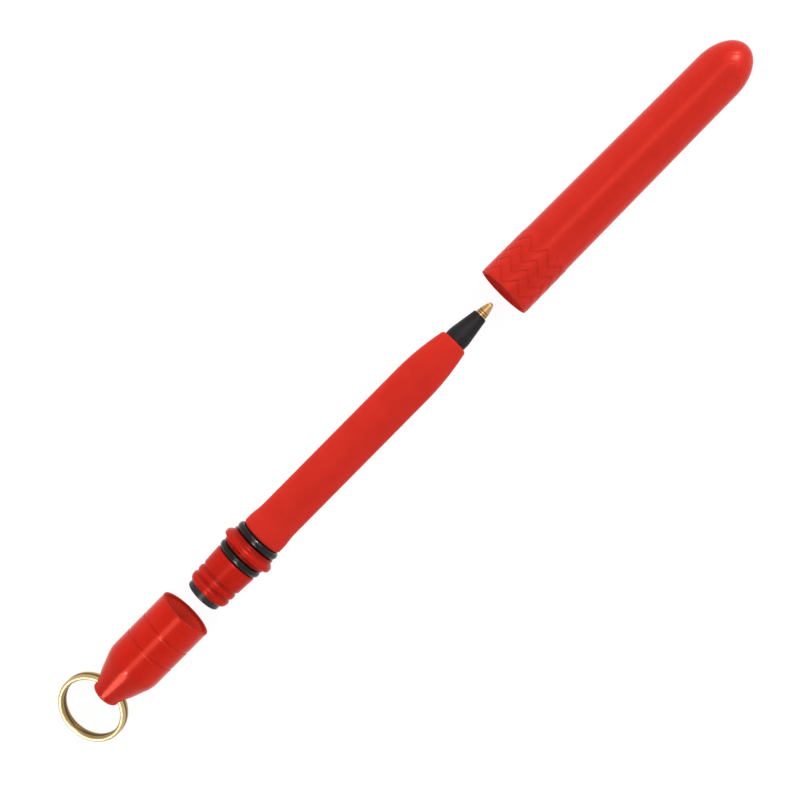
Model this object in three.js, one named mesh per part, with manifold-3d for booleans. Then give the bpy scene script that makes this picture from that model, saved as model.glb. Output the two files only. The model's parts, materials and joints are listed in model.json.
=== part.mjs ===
// A pocket pen, laid out on a table with its three pieces in line: the cap, the pen
// itself and the end cap with its split ring. Sizes are in millimetres. +X points to
// the writing tip and +Z is up. z = 0 is the table, and x = 0, y = 0 is the middle of
// the whole layout.

import * as THREE from "three";
import * as BufferGeometryUtils from "three/addons/utils/BufferGeometryUtils.js";
import Module from "manifold-3d";

// Layout on the table
const capGap = 3.4; // from the writing tip to the mouth of the cap
const endCapGap = 5.1; // from the tail of the pen to the mouth of the end cap
const floorGap = 0.05; // under the drooping split ring

// Roundness
const wideSides = 36; // sides of the cap, the barrel and what fits them
const slimSides = 24; // sides of the refill and of the cross hole

// Fits
const seatGap = 0.02; // between pieces that are pushed together for good
const slideGap = 0.05; // between an O-ring and the bore that slides over it
const stopGap = 0.05; // between the collar and the mouth of a closed cap
const ballGap = 0.04; // between the ball and its socket
const tubeGap = 0.3; // round and behind the ink tube in the barrel
const ringGap = 0.08; // round the split ring's wire in its hole

// O-rings, which set the bores of both caps
const oRingDiameter = 11; // outer
const oRingThickness = 2;
const oRingSteps = 10; // points round the rubber's own section

// Tail, collar and their details
const plugDiameter = 8.3;
const plugHeadThickness = 1;
const plugEdgeRound = 0.35;
const plugStemDiameter = 5.2;
const plugStemLength = 3.5;
const tailLength = 9.6; // from the tail face to the rear O-ring's groove
const tailInset = 0.3; // of the tail's widest place inside the end cap's bore
const tailFlare = 0.22; // rise of the tail towards the O-ring
const tailRoundLength = 1.15;
const tailRoundDrop = 0.65;
const tailGrooveCount = 2;
const tailGrooveStart = 1.8; // from the tail face to the first groove
const tailGroovePitch = 2.04;
const tailGrooveWidth = 1.05;
const tailGrooveDepth = 0.2;
const collarWidth = 3.36;
const collarCrestWidth = 0.6;
const collarCrestShift = 0.3; // of the crest from the collar's middle towards the tail
const collarStopHeight = 0.87; // of the collar's crest above the caps' bores
const collarLipInset = 0.1; // of the collar's lips below the caps' bores
const collarLipWidth = 0.45; // of the straight lip beside each O-ring

// Grip sleeve
const sleeveLength = 59.2;
const sleeveInset = 0.8; // of its straight part inside the cap's bore
const sleeveRimInset = 0.47; // of its rear rim inside the cap's bore
const sleeveRimWidth = 1.5;
const sleeveRimEase = 3.9; // length over which the rim runs down to the straight part
const sleeveWall = 0.66;
const sleeveNoseLength = 13;
const sleeveNoseDrop = 1.45;
const sleeveLipLength = 0.9; // the thick front lip's rounding
const sleeveFrontLength = 3; // thick front part that holds the nose cone's shank

// Nose cone
const coneLength = 7.9; // in front of the sleeve
const coneShankLength = 1.6; // straight part in front of the sleeve
const coneFrontWall = 0.27;
const coneFrontRound = 0.2;
const coneStemWall = 0.55;
const coneStemLength = 6;
const coneShoulder = 0.68; // of the shank over the stem

// Refill
const tubeDiameter = 2.9;
const tubeWall = 0.4;
const tubeSetback = 3; // from the nose cone's front to the end of the tube
const inkSetback = 4; // empty length behind the ink
const tipLength = 3.75; // in front of the nose cone, with the ball
const tipBaseDiameter = 2.78;
const tipRingCount = 2; // turned rings in front of the nose cone
const tipRingLength = 0.35;
const tipRingDrop = 0.05; // of each ring's radius below the one before
const tipGrooveWidth = 0.16; // in front of each ring
const tipGrooveDepth = 0.12;
const tipNoseDiameter = 1.54; // where the rounding round the ball starts
const tipNoseLength = 0.8;
const tipStemLength = 4.5;
const tipChannelDiameter = 0.5;
const tipLipWall = 0.07;
const ballDiameter = 1;
const ballShowing = 0.25; // of the ball in front of the socket's lip
const socketSteps = 5;

// Cap
const capWall = 0.85;
const capEndWall = 0.7;
const capTipGap = 0.25; // from the ball to the inside of the dome
const capDomeLength = 9;
const capDomeGap = 0.3; // round the sleeve where the dome starts
const capBandRise = 0.13; // of the thicker band at the mouth
const capBandLength = 8.5;
const capBandEase = 3; // length over which the band runs out
const capThroatLength = 13; // length of the steeper taper behind the mouth
const capThroatDrop = 0.11;
const capMouthRound = 0.25;
const capStraightBore = 5; // length of bore that the O-ring reaches

// End cap
const endCapWall = 0.8;
const endCapTailGap = 0.5; // from the tail plug to the bottom of the bore
const endCapNoseLength = 11.4; // solid part behind the bore
const endCapNoseDiameter = 6.8;
const endCapNoseRound = 1.1;
const endCapConeAngle = 20.9; // degrees from the axis
const endCapShoulder = 1.7; // length of the bend on each side of the cone's upper end
const endCapMouthRound = 0.2;
const endCapGrooveCount = 2;
const endCapGrooveStart = 5.7; // from the mouth to the first groove
const endCapGroovePitch = 4.85;
const endCapGrooveWidth = 0.65;
const endCapGrooveDepth = 0.15;
const holeWall = 0.5; // between the cross hole and the blunt end
const holeFlare = 0.6; // widening of the cross hole at each mouth

// Split ring: two flat turns of one wire. Its climb from the lower turn to the upper,
// and both its ends, lie in the cross hole.
const ringDiameter = 16; // outer
const ringWireWidth = 1.3; // in the ring's plane
const ringWireThickness = 1.15; // across the ring's plane
const ringTurnGap = 0.45;
const ringStepsPerTurn = 24;
const ringWireSides = 8;
const ringClimbSteps = 2;

// Radii that follow from the fits
const boreRadius = oRingDiameter / 2 + slideGap;
const oRingCentreRadius = (oRingDiameter - oRingThickness) / 2;
const grooveFloorRadius = oRingDiameter / 2 - oRingThickness - seatGap;
const grooveWidth = oRingThickness + 2 * seatGap;
const collarRadius = boreRadius + collarStopHeight;
const collarLipRadius = boreRadius - collarLipInset;
const tailShoulderRadius = boreRadius - tailInset;
const tailRadius = tailShoulderRadius - tailFlare;
const sleeveRadius = boreRadius - sleeveInset;
const sleeveRimRadius = boreRadius - sleeveRimInset;
const coreRadius = sleeveRadius - sleeveWall - seatGap;
const tubeRadius = tubeDiameter / 2;
const barrelBoreRadius = tubeRadius + tubeGap;
const stemRadius = tubeRadius + seatGap + coneStemWall;
const shankRadius = stemRadius + coneShoulder;
const tipBaseRadius = tipBaseDiameter / 2;
const coneFrontRadius = tipBaseRadius + seatGap + coneFrontWall;
const ballRadius = ballDiameter / 2;
const capMouthRadius = boreRadius + capWall + capBandRise;
const capDomeBore = sleeveRadius + capDomeGap;
const endCapRadius = boreRadius + endCapWall;
const noseRadius = endCapNoseDiameter / 2;

// Places along the pen, counted from the tail plug's outer face
const tailFace = plugHeadThickness + seatGap;
const rearGroove = tailFace + tailLength;
const collarStart = rearGroove + grooveWidth;
const crestMiddle = collarStart + collarWidth / 2 - collarCrestShift;
const frontGroove = collarStart + collarWidth;
const sleeveStart = frontGroove + grooveWidth + seatGap;
const sleeveEnd = sleeveStart + sleeveLength;
const coreEnd = sleeveEnd - sleeveFrontLength;
const coneFront = sleeveEnd + coneLength;
const tubeEnd = coneFront - tubeSetback;
const penLength = coneFront + tipLength;
const ballCentre = penLength - ballRadius;

// The collar's flanks fall as half a cosine wave. The stop share is the part of a
// flank's width over which it comes down to the caps' bore.
const flankWidth = (collarWidth - collarCrestWidth) / 2 - collarLipWidth;
const boreShare = (boreRadius - collarLipRadius) / (collarRadius - collarLipRadius);
const stopShare = Math.acos(2 * boreShare - 1) / Math.PI;
const crestStart = crestMiddle - collarCrestWidth / 2;
const crestEnd = crestMiddle + collarCrestWidth / 2;
const capStop = crestEnd + (flankWidth + collarCrestShift) * stopShare + stopGap;
const capReach = penLength - capStop;
const tailReach = crestStart - (flankWidth - collarCrestShift) * stopShare - stopGap;

const capLength = capReach + capTipGap + capEndWall;
const boreDepth = tailReach + endCapTailGap;
const endCapLength = boreDepth + endCapNoseLength;

// The split ring's wire is curved, and the cross hole is straight. The hole lies half
// way between the wire's places at the hole's middle and at its mouths.
const coneSlope = Math.tan(THREE.MathUtils.degToRad(endCapConeAngle));
const ringRadius = (ringDiameter - ringWireWidth) / 2;
const layerOffset = (ringWireThickness + ringTurnGap) / 2;
const ringHalfHeight = layerOffset + ringWireThickness / 2;
const wireReach = Math.max(ringWireWidth, ringWireThickness) / 2;
const wireBow = ringRadius - Math.sqrt(ringRadius ** 2 - (noseRadius + holeFlare / 2) ** 2);
const holeRadius = Math.hypot(wireBow / 2, layerOffset) + wireReach + ringGap;
const holeDistance = holeWall + holeRadius;
const ringCentre = ringRadius - wireBow / 2;

// Heights and places in the layout, still counted from the tail plug's outer face
const widestRadius = Math.max(capMouthRadius, collarRadius, endCapRadius);
const axisHeight = widestRadius * Math.cos(Math.PI / wideSides);
const capMouth = penLength + capGap;
const endCapMouth = -endCapGap;
const holePlace = endCapMouth - endCapLength + holeDistance;
const ringReach = ringCentre + ringDiameter / 2;
const ringDroop = Math.asin((axisHeight - floorGap) / Math.hypot(ringReach, ringHalfHeight))
  - Math.atan2(ringHalfHeight, ringReach);
const layoutStart = holePlace - ringReach * Math.cos(ringDroop)
  - ringHalfHeight * Math.sin(ringDroop);
const layoutEnd = capMouth + capLength;
const layoutMiddle = (layoutStart + layoutEnd) / 2;

const wasm = await Module();
wasm.setup();

/** The half section of a round piece, drawn as places along the axis and radii. */
class Outline {
  constructor(place, radius) {
    this.points = [new THREE.Vector2(radius, place)];
  }

  /** Where the outline has come to, as a place and a radius. */
  get last() {
    const { x, y } = this.points.at(-1);
    return { place: y, radius: x };
  }

  line(place, radius) {
    this.points.push(new THREE.Vector2(radius, place));
    return this;
  }

  /** Adds points of a curve, given by its place and radius for shares of 0 to 1. */
  trace(steps, curve) {
    for (let step = 1; step <= steps; step += 1) {
      this.line(...curve(step / steps));
    }
    return this;
  }

  /** A quarter of an ellipse that starts along the axis and ends square to it. */
  turnAcross(place, radius, steps = 3) {
    const from = this.last;
    return this.trace(steps, (share) => [
      from.place + (place - from.place) * Math.sin(share * Math.PI / 2),
      radius + (from.radius - radius) * Math.cos(share * Math.PI / 2),
    ]);
  }

  /** A quarter of an ellipse that starts square to the axis and ends along it. */
  turnAlong(place, radius, steps = 3) {
    const from = this.last;
    return this.trace(steps, (share) => [
      place + (from.place - place) * Math.cos(share * Math.PI / 2),
      from.radius + (radius - from.radius) * Math.sin(share * Math.PI / 2),
    ]);
  }

  /** Half a cosine wave, level at both ends. */
  ease(place, radius, steps = 4) {
    const from = this.last;
    return this.trace(steps, (share) => [
      from.place + (place - from.place) * share,
      radius + (from.radius - radius) * (1 + Math.cos(share * Math.PI)) / 2,
    ]);
  }

  /** A bend between two straight stretches that would meet at the given corner. */
  bend(cornerPlace, cornerRadius, place, radius, steps = 4) {
    const from = this.last;
    const curve = new THREE.QuadraticBezierCurve(
      new THREE.Vector2(from.place, from.radius),
      new THREE.Vector2(cornerPlace, cornerRadius),
      new THREE.Vector2(place, radius),
    );
    return this.trace(steps, (share) => curve.getPoint(share).toArray());
  }

  /** A shallow groove with sloping sides, cut into a straight stretch. */
  groove(middle, width, depth, direction = 1) {
    const { radius } = this.last;
    const floor = width / 4;
    return this.line(middle - direction * width / 2, radius)
      .line(middle - direction * floor, radius - depth)
      .line(middle + direction * floor, radius - depth)
      .line(middle + direction * width / 2, radius);
  }

  /** Joins the last point to the first, for a piece with a bore right through. */
  close() {
    this.points.push(this.points[0].clone());
    return this;
  }
}

/** Turns an outline round the X axis, with a flat side facing down. */
function revolve(outline, sides = wideSides) {
  const geometry = new THREE.LatheGeometry(outline.points, sides, Math.PI / sides);
  return geometry.rotateZ(-Math.PI / 2);
}

function makePiece(name, geometry, color, roughness, metalness = 0) {
  const material = new THREE.MeshStandardMaterial({ color, roughness, metalness });
  const mesh = new THREE.Mesh(geometry, material);
  mesh.name = name;
  return mesh;
}

/** Makes a solid for joining and cutting from a closed geometry. */
function toSolid(geometry) {
  const bare = geometry.clone();
  bare.deleteAttribute("normal");
  bare.deleteAttribute("uv");
  const merged = BufferGeometryUtils.mergeVertices(bare);
  const corners = merged.index.array;
  const triangles = [];
  for (let first = 0; first < corners.length; first += 3) {
    const [a, b, c] = corners.slice(first, first + 3);
    if (a !== b && b !== c && c !== a) {
      triangles.push(a, b, c);
    }
  }
  return new wasm.Manifold(new wasm.Mesh({
    numProp: 3,
    vertProperties: Float32Array.from(merged.attributes.position.array),
    triVerts: Uint32Array.from(triangles),
  }));
}

function fromSolid(solid) {
  const mesh = solid.getMesh();
  const geometry = new THREE.BufferGeometry();
  geometry.setAttribute("position", new THREE.BufferAttribute(mesh.vertProperties, 3));
  geometry.setIndex(new THREE.BufferAttribute(mesh.triVerts, 1));
  geometry.computeVertexNormals();
  return geometry;
}

/** Radius of the grip sleeve's nose at a distance behind its front end. */
function sleeveNoseRadius(distance) {
  const share = 1 - Math.min(distance / sleeveNoseLength, 1);
  return sleeveRadius - sleeveNoseDrop * share ** 2;
}

/** Follows the sleeve's nose at an even depth under its surface. */
function traceNose(outline, fromDistance, toDistance, depth, steps) {
  return outline.trace(steps, (share) => {
    const distance = fromDistance + (toDistance - fromDistance) * share;
    return [sleeveEnd - distance, sleeveNoseRadius(distance) - depth];
  });
}

/** Glossy core of the pen: tail, O-ring grooves, collar and the tube in the sleeve. */
function makeBarrel() {
  const outline = new Outline(tailFace, plugStemDiameter / 2 + seatGap)
    .line(tailFace, tailRadius - tailRoundDrop)
    .turnAlong(tailFace + tailRoundLength, tailRadius);
  for (let index = 0; index < tailGrooveCount; index += 1) {
    const middle = tailFace + tailGrooveStart + tailGrooveWidth / 2 + index * tailGroovePitch;
    outline.groove(middle, tailGrooveWidth, tailGrooveDepth);
  }
  outline
    .line(rearGroove - tailInset, tailShoulderRadius)
    .line(rearGroove, tailShoulderRadius - tailInset)
    .line(rearGroove, grooveFloorRadius)
    .line(collarStart, grooveFloorRadius)
    .line(collarStart, collarLipRadius)
    .line(collarStart + collarLipWidth, collarLipRadius)
    .ease(crestStart, collarRadius, 5)
    .line(crestEnd, collarRadius)
    .ease(frontGroove - collarLipWidth, collarLipRadius, 5)
    .line(frontGroove, collarLipRadius)
    .line(frontGroove, grooveFloorRadius)
    .line(frontGroove + grooveWidth, grooveFloorRadius)
    .line(frontGroove + grooveWidth, coreRadius)
    .line(sleeveEnd - sleeveNoseLength, coreRadius);
  const stemBore = stemRadius + seatGap;
  traceNose(outline, sleeveNoseLength, sleeveFrontLength, sleeveWall + seatGap, 4)
    .line(coreEnd, stemBore)
    .line(coreEnd - coneStemLength - seatGap, stemBore)
    .line(coreEnd - coneStemLength - seatGap, barrelBoreRadius)
    .line(tailFace + plugStemLength + seatGap, barrelBoreRadius)
    .line(tailFace + plugStemLength + seatGap, plugStemDiameter / 2 + seatGap)
    .close();
  return makePiece("barrel", revolve(outline), 0xc4281e, 0.25);
}

/** Matt sleeve with a raised rear rim, a long straight grip and a drawn-in nose. */
function makeGripSleeve() {
  const rimMiddle = sleeveStart + sleeveRimWidth / 2;
  const shankBore = shankRadius + seatGap;
  const outline = new Outline(sleeveStart, coreRadius + seatGap)
    .line(sleeveStart, sleeveRimRadius - sleeveRimInset)
    .turnAlong(rimMiddle, sleeveRimRadius)
    .line(sleeveStart + sleeveRimWidth, sleeveRimRadius)
    .ease(sleeveStart + sleeveRimWidth + sleeveRimEase, sleeveRadius)
    .line(sleeveEnd - sleeveNoseLength, sleeveRadius);
  traceNose(outline, sleeveNoseLength, sleeveLipLength, 0, 6)
    .turnAcross(sleeveEnd, shankBore, 4)
    .line(coreEnd + seatGap, shankBore)
    .line(coreEnd + seatGap, sleeveNoseRadius(sleeveFrontLength) - sleeveWall);
  traceNose(outline, sleeveFrontLength, sleeveNoseLength, sleeveWall, 4)
    .close();
  return makePiece("grip_sleeve", revolve(outline), 0xcb3228, 0.75);
}

function makeORing(name, grooveStart) {
  const rubberRadius = oRingThickness / 2;
  const middle = grooveStart + grooveWidth / 2;
  const outline = new Outline(middle, oRingCentreRadius - rubberRadius)
    .trace(oRingSteps, (share) => [
      middle - rubberRadius * Math.sin(share * 2 * Math.PI),
      oRingCentreRadius - rubberRadius * Math.cos(share * 2 * Math.PI),
    ]);
  return makePiece(name, revolve(outline), 0x1a1918, 0.35);
}

/** Black plug that closes the tail, with a stem in the barrel's counterbore. */
function makeTailPlug() {
  const headRadius = plugDiameter / 2;
  const outline = new Outline(0, 0)
    .line(0, headRadius - plugEdgeRound)
    .turnAlong(plugEdgeRound, headRadius)
    .line(plugHeadThickness, headRadius)
    .line(plugHeadThickness, plugStemDiameter / 2)
    .line(tailFace + plugStemLength, plugStemDiameter / 2)
    .line(tailFace + plugStemLength, 0);
  return makePiece("tail_plug", revolve(outline), 0x1d1c1f, 0.2);
}

/** Black cone that holds the refill, with a stem in the barrel. */
function makeNoseCone() {
  const tubeBore = tubeRadius + seatGap;
  const tipBore = tipBaseRadius + seatGap;
  const stemStart = coreEnd - coneStemLength;
  const outline = new Outline(stemStart, tubeBore)
    .line(stemStart, stemRadius)
    .line(coreEnd + seatGap, stemRadius)
    .line(coreEnd + seatGap, shankRadius)
    .line(sleeveEnd + coneShankLength, shankRadius)
    .line(coneFront - coneFrontRound, coneFrontRadius)
    .turnAcross(coneFront, coneFrontRadius - coneFrontRound)
    .line(coneFront, tipBore)
    .line(tubeEnd + seatGap, tipBore)
    .line(tubeEnd + seatGap, tubeBore)
    .close();
  return makePiece("nose_cone", revolve(outline), 0x252326, 0.4);
}

/** Brass point: a stem in the ink tube, turned rings, a cone and the ball's socket. */
function makePointTip() {
  const stem = tubeRadius - tubeWall - seatGap;
  const channel = tipChannelDiameter / 2;
  const socket = ballRadius + ballGap;
  const lipDistance = ballRadius - ballShowing;
  const lipAngle = Math.acos(lipDistance / socket);
  const channelAngle = Math.PI - Math.asin(channel / socket);
  const lipRadius = socket * Math.sin(lipAngle) + tipLipWall;
  const outline = new Outline(tubeEnd - tipStemLength, channel)
    .line(tubeEnd - tipStemLength, stem)
    .line(tubeEnd + seatGap, stem)
    .line(tubeEnd + seatGap, tipBaseRadius);
  for (let index = 0; index < tipRingCount; index += 1) {
    const { radius } = outline.last;
    const ringEnd = coneFront + tipRingLength + index * (tipRingLength + tipGrooveWidth);
    outline.line(ringEnd, radius)
      .line(ringEnd, radius - tipGrooveDepth)
      .line(ringEnd + tipGrooveWidth, radius - tipGrooveDepth)
      .line(ringEnd + tipGrooveWidth, radius - tipRingDrop);
  }
  outline.line(penLength - tipNoseLength, tipNoseDiameter / 2)
    .turnAcross(ballCentre + lipDistance, lipRadius)
    .line(ballCentre + lipDistance, socket * Math.sin(lipAngle))
    .trace(socketSteps, (share) => {
      const angle = lipAngle + (channelAngle - lipAngle) * share;
      return [ballCentre + socket * Math.cos(angle), socket * Math.sin(angle)];
    })
    .close();
  return makePiece("point_tip", revolve(outline, slimSides), 0xc79a58, 0.3, 1);
}

function makeWritingBall() {
  const geometry = new THREE.SphereGeometry(ballRadius, 16, 12);
  return makePiece("writing_ball", geometry.translate(ballCentre, 0, 0), 0x9a9a9c, 0.2, 1);
}

const tubeStart = tailFace + plugStemLength + tubeGap;

function makeInkTube() {
  const bore = tubeRadius - tubeWall;
  const outline = new Outline(tubeStart, bore)
    .line(tubeStart, tubeRadius)
    .line(tubeEnd, tubeRadius)
    .line(tubeEnd, bore)
    .close();
  return makePiece("ink_tube", revolve(outline, slimSides), 0xd8d8d2, 0.4);
}

function makeInk() {
  const radius = tubeRadius - tubeWall - seatGap;
  const end = tubeEnd - tipStemLength - seatGap;
  const outline = new Outline(tubeStart + inkSetback, 0)
    .line(tubeStart + inkSetback, radius)
    .line(end, radius)
    .line(end, 0);
  return makePiece("ink", revolve(outline, slimSides), 0x10121c, 0.3);
}

/** Long cap, open at its mouth at x = 0, with a dome that just clears the tip. */
function makeCap() {
  const domeStart = capLength - capDomeLength;
  const bodyRadius = boreRadius + capWall;
  const domeRadius = capDomeBore + capWall;
  const outline = new Outline(0, boreRadius)
    .line(0, capMouthRadius - capMouthRound)
    .turnAlong(capMouthRound, capMouthRadius)
    .line(capBandLength, capMouthRadius)
    .ease(capBandLength + capBandEase, bodyRadius, 3)
    .line(capThroatLength, bodyRadius - capThroatDrop)
    .line(domeStart, domeRadius)
    .turnAcross(capLength, 0, 9);
  const inner = capLength - capEndWall;
  outline.line(inner, 0)
    .turnAlong(domeStart, capDomeBore, 7)
    .line(capThroatLength, boreRadius - capThroatDrop)
    .line(capStraightBore, boreRadius)
    .close();
  return makePiece("cap", revolve(outline), 0xc42f26, 0.45);
}

/** Radius of the end cap's cone at a distance from the blunt end. */
function endCapConeRadius(distance) {
  return noseRadius + (distance - endCapNoseRound) * coneSlope;
}

/** Cutter for the cross hole: round along Y, and wider at the nose's surface. */
function makeHoleCutter() {
  const surface = endCapConeRadius(holeDistance);
  const flareStart = surface - holeFlare;
  const flareEnd = surface + holeFlare;
  const points = [
    new THREE.Vector2(0, -flareEnd),
    new THREE.Vector2(holeRadius + 2 * holeFlare, -flareEnd),
    new THREE.Vector2(holeRadius, -flareStart),
    new THREE.Vector2(holeRadius, flareStart),
    new THREE.Vector2(holeRadius + 2 * holeFlare, flareEnd),
    new THREE.Vector2(0, flareEnd),
  ];
  return new THREE.LatheGeometry(points, slimSides, Math.PI / slimSides);
}

/** End cap with its mouth at x = 0, a bore for the tail and a cross-drilled nose. */
function makeEndCap() {
  const coneEnd = endCapNoseRound + (endCapRadius - noseRadius) / coneSlope;
  const bendStart = coneEnd - endCapShoulder * Math.cos(Math.atan(coneSlope));
  const outline = new Outline(-endCapLength, 0)
    .line(-endCapLength, noseRadius - endCapNoseRound)
    .turnAlong(endCapNoseRound - endCapLength, noseRadius)
    .line(bendStart - endCapLength, endCapConeRadius(bendStart))
    .bend(coneEnd - endCapLength, endCapRadius, coneEnd + endCapShoulder - endCapLength,
      endCapRadius);
  for (let index = endCapGrooveCount - 1; index >= 0; index -= 1) {
    const middle = -endCapGrooveStart - index * endCapGroovePitch;
    outline.groove(middle, endCapGrooveWidth, endCapGrooveDepth);
  }
  outline.line(-endCapMouthRound, endCapRadius)
    .turnAcross(0, endCapRadius - endCapMouthRound, 2)
    .line(0, boreRadius)
    .line(-boreDepth, boreRadius)
    .line(-boreDepth, 0);
  const hole = makeHoleCutter().translate(holeDistance - endCapLength, 0, 0);
  const solid = toSolid(revolve(outline)).subtract(toSolid(hole));
  return makePiece("end_cap", fromSolid(solid), 0xc6261b, 0.2);
}

/** Middle of the split ring's wire, for an angle from the hole round both turns. */
function ringPoint(angle) {
  const halfClimb = Math.PI * ringClimbSteps / ringStepsPerTurn;
  const share = THREE.MathUtils.smoothstep(angle, -halfClimb, halfClimb);
  return {
    outward: new THREE.Vector3(Math.cos(angle), Math.sin(angle), 0),
    height: layerOffset * (2 * share - 1),
  };
}

/** Corners of the wire at every step along it, one list for each step. */
function makeRingSections() {
  const step = 2 * Math.PI / ringStepsPerTurn;
  const steps = 2 * ringStepsPerTurn - ringClimbSteps;
  const centre = new THREE.Vector3(-ringCentre, 0, 0);
  // Stretched so that the flat sides, and not only the corners, have the full size
  const stretch = 1 / Math.cos(Math.PI / ringWireSides);
  return Array.from({ length: steps + 1 }, (_, index) => {
    const { outward, height } = ringPoint((index - steps / 2) * step);
    return Array.from({ length: ringWireSides }, (unused, side) => {
      const turn = (side + 0.5) * 2 * Math.PI / ringWireSides;
      const out = ringRadius + stretch * Math.cos(turn) * ringWireWidth / 2;
      const up = height + stretch * Math.sin(turn) * ringWireThickness / 2;
      return centre.clone().addScaledVector(outward, out).setZ(up);
    });
  });
}

/** Least distance between corners of the wire that lie on different turns. */
function measureTurnGap(sections) {
  let least = Infinity;
  sections.forEach((section, index) => {
    for (const other of sections.slice(index + ringStepsPerTurn / 2)) {
      for (const corner of section) {
        for (const otherCorner of other) {
          least = Math.min(least, corner.distanceTo(otherCorner));
        }
      }
    }
  });
  return least;
}

/** The split ring as one tube, flat in its own plane, with the hole at its origin. */
function makeSplitRing() {
  const sections = makeRingSections();
  console.log(`split ring: least gap between turns ${measureTurnGap(sections).toFixed(3)} mm`);
  const corners = sections.flat().flatMap((corner) => corner.toArray());
  const faces = [];
  for (let index = 0; index + 1 < sections.length; index += 1) {
    for (let side = 0; side < ringWireSides; side += 1) {
      const next = (side + 1) % ringWireSides;
      const near = index * ringWireSides;
      const far = near + ringWireSides;
      faces.push(near + side, far + next, near + next, near + side, far + side, far + next);
    }
  }
  const lastSection = (sections.length - 1) * ringWireSides;
  for (let side = 1; side + 1 < ringWireSides; side += 1) {
    faces.push(0, side, side + 1);
    faces.push(lastSection, lastSection + side + 1, lastSection + side);
  }
  const geometry = new THREE.BufferGeometry();
  geometry.setAttribute("position", new THREE.Float32BufferAttribute(corners, 3));
  geometry.setIndex(faces);
  geometry.computeVertexNormals();
  return makePiece("split_ring", geometry, 0xc8a96a, 0.25, 1);
}

const pen = new THREE.Group();
pen.add(
  makeBarrel(),
  makeGripSleeve(),
  makeORing("front_o_ring", frontGroove),
  makeORing("rear_o_ring", rearGroove),
  makeNoseCone(),
  makeTailPlug(),
  makeInkTube(),
  makeInk(),
  makePointTip(),
  makeWritingBall(),
);

const cap = makeCap();
cap.position.x = capMouth;

const endCap = makeEndCap();
endCap.position.x = endCapMouth;

const splitRing = makeSplitRing();
splitRing.position.x = holePlace;
splitRing.rotation.y = -ringDroop;

const layout = new THREE.Group();
layout.name = "pocket_pen";
layout.add(pen, cap, endCap, splitRing);
layout.position.set(-layoutMiddle, 0, axisHeight);

export default layout;
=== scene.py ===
"""A pocket pen on a white table: its cap, the pen itself and its end cap with a split ring.

Lengths are in millimetres until a mesh is filled, which is in metres. The frame says
where each piece lies: +X points to the writing tip, and z = 0 is the table.
"""

import json
import logging
import math
from abc import ABC, abstractmethod
from dataclasses import dataclass, field
from enum import Enum
from typing import Any

import bpy
import numpy as np
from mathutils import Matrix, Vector


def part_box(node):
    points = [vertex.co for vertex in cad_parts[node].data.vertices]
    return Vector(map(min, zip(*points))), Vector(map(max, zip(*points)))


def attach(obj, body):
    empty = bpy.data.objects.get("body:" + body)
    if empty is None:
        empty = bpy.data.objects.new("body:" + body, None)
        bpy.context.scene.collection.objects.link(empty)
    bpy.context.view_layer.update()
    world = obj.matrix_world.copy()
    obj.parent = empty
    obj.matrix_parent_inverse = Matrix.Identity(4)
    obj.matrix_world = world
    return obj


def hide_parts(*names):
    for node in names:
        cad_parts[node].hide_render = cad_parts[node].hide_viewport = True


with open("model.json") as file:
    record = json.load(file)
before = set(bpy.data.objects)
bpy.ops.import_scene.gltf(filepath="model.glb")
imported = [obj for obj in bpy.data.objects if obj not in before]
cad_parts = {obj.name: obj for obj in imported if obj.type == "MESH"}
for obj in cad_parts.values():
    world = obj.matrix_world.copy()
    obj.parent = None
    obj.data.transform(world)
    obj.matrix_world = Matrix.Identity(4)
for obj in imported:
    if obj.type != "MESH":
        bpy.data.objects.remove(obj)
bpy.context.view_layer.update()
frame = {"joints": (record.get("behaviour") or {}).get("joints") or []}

LOG = logging.getLogger("pocket_pen")

MM = 0.001
# A round piece of the frame has flat sides. A smooth one that just fits inside it has a
# radius smaller by this factor: the first for thick pieces, the second for slim ones.
THICK = math.cos(math.pi / 36)
SLIM = math.cos(math.pi / 24)
# Edges that bend by more than this are drawn sharp.
SHARP_ANGLE = math.radians(50)
# A radius below this is a point on the axis.
POLE_RADIUS = 1e-9
# Length over which edges that fit closely against another piece are rounded.
FINE_EDGE = 0.05

Array = np.ndarray
Colour = tuple[float, float, float]


class Slot(Enum):
    """The record's material slots."""

    GLOSS_RED = "gloss_red"
    MATT_RED = "matt_red"
    SATIN_RED = "satin_red"
    BLACK_RUBBER = "black_rubber"
    BLACK_PLASTIC = "black_plastic"
    CLEAR_PLASTIC = "clear_plastic"
    INK = "ink"
    BRASS = "brass"
    BALL_METAL = "ball_metal"
    GOLD_WIRE = "gold_wire"


class Body(Enum):
    """The bodies that move on their own."""

    PEN = "pen_body"
    CAP = "cap"
    END_CAP = "end_cap"
    RING = "split_ring"
    BALL = "writing_ball"


def screen(red: int, green: int, blue: int) -> Colour:
    """Turn a colour as a screen shows it, from 0 to 255, into a linear one.

    Args:
        red: Share of red.
        green: Share of green.
        blue: Share of blue.

    Returns:
        The linear colour: the 2.4 power curve with its straight foot.
    """
    shares = np.array([red, green, blue]) / 255
    low = shares / 12.92
    high = ((shares + 0.055) / 1.055) ** 2.4
    return tuple(float(share) for share in np.where(shares <= 0.04045, low, high))


def smooth_step(values: Array, start: float, end: float) -> Array:
    """Rise from 0 at start to 1 at end along 3 u^2 - 2 u^3."""
    share = np.clip((values - start) / (end - start), 0, 1)
    return share * share * (3 - 2 * share)


# Shapes


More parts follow.
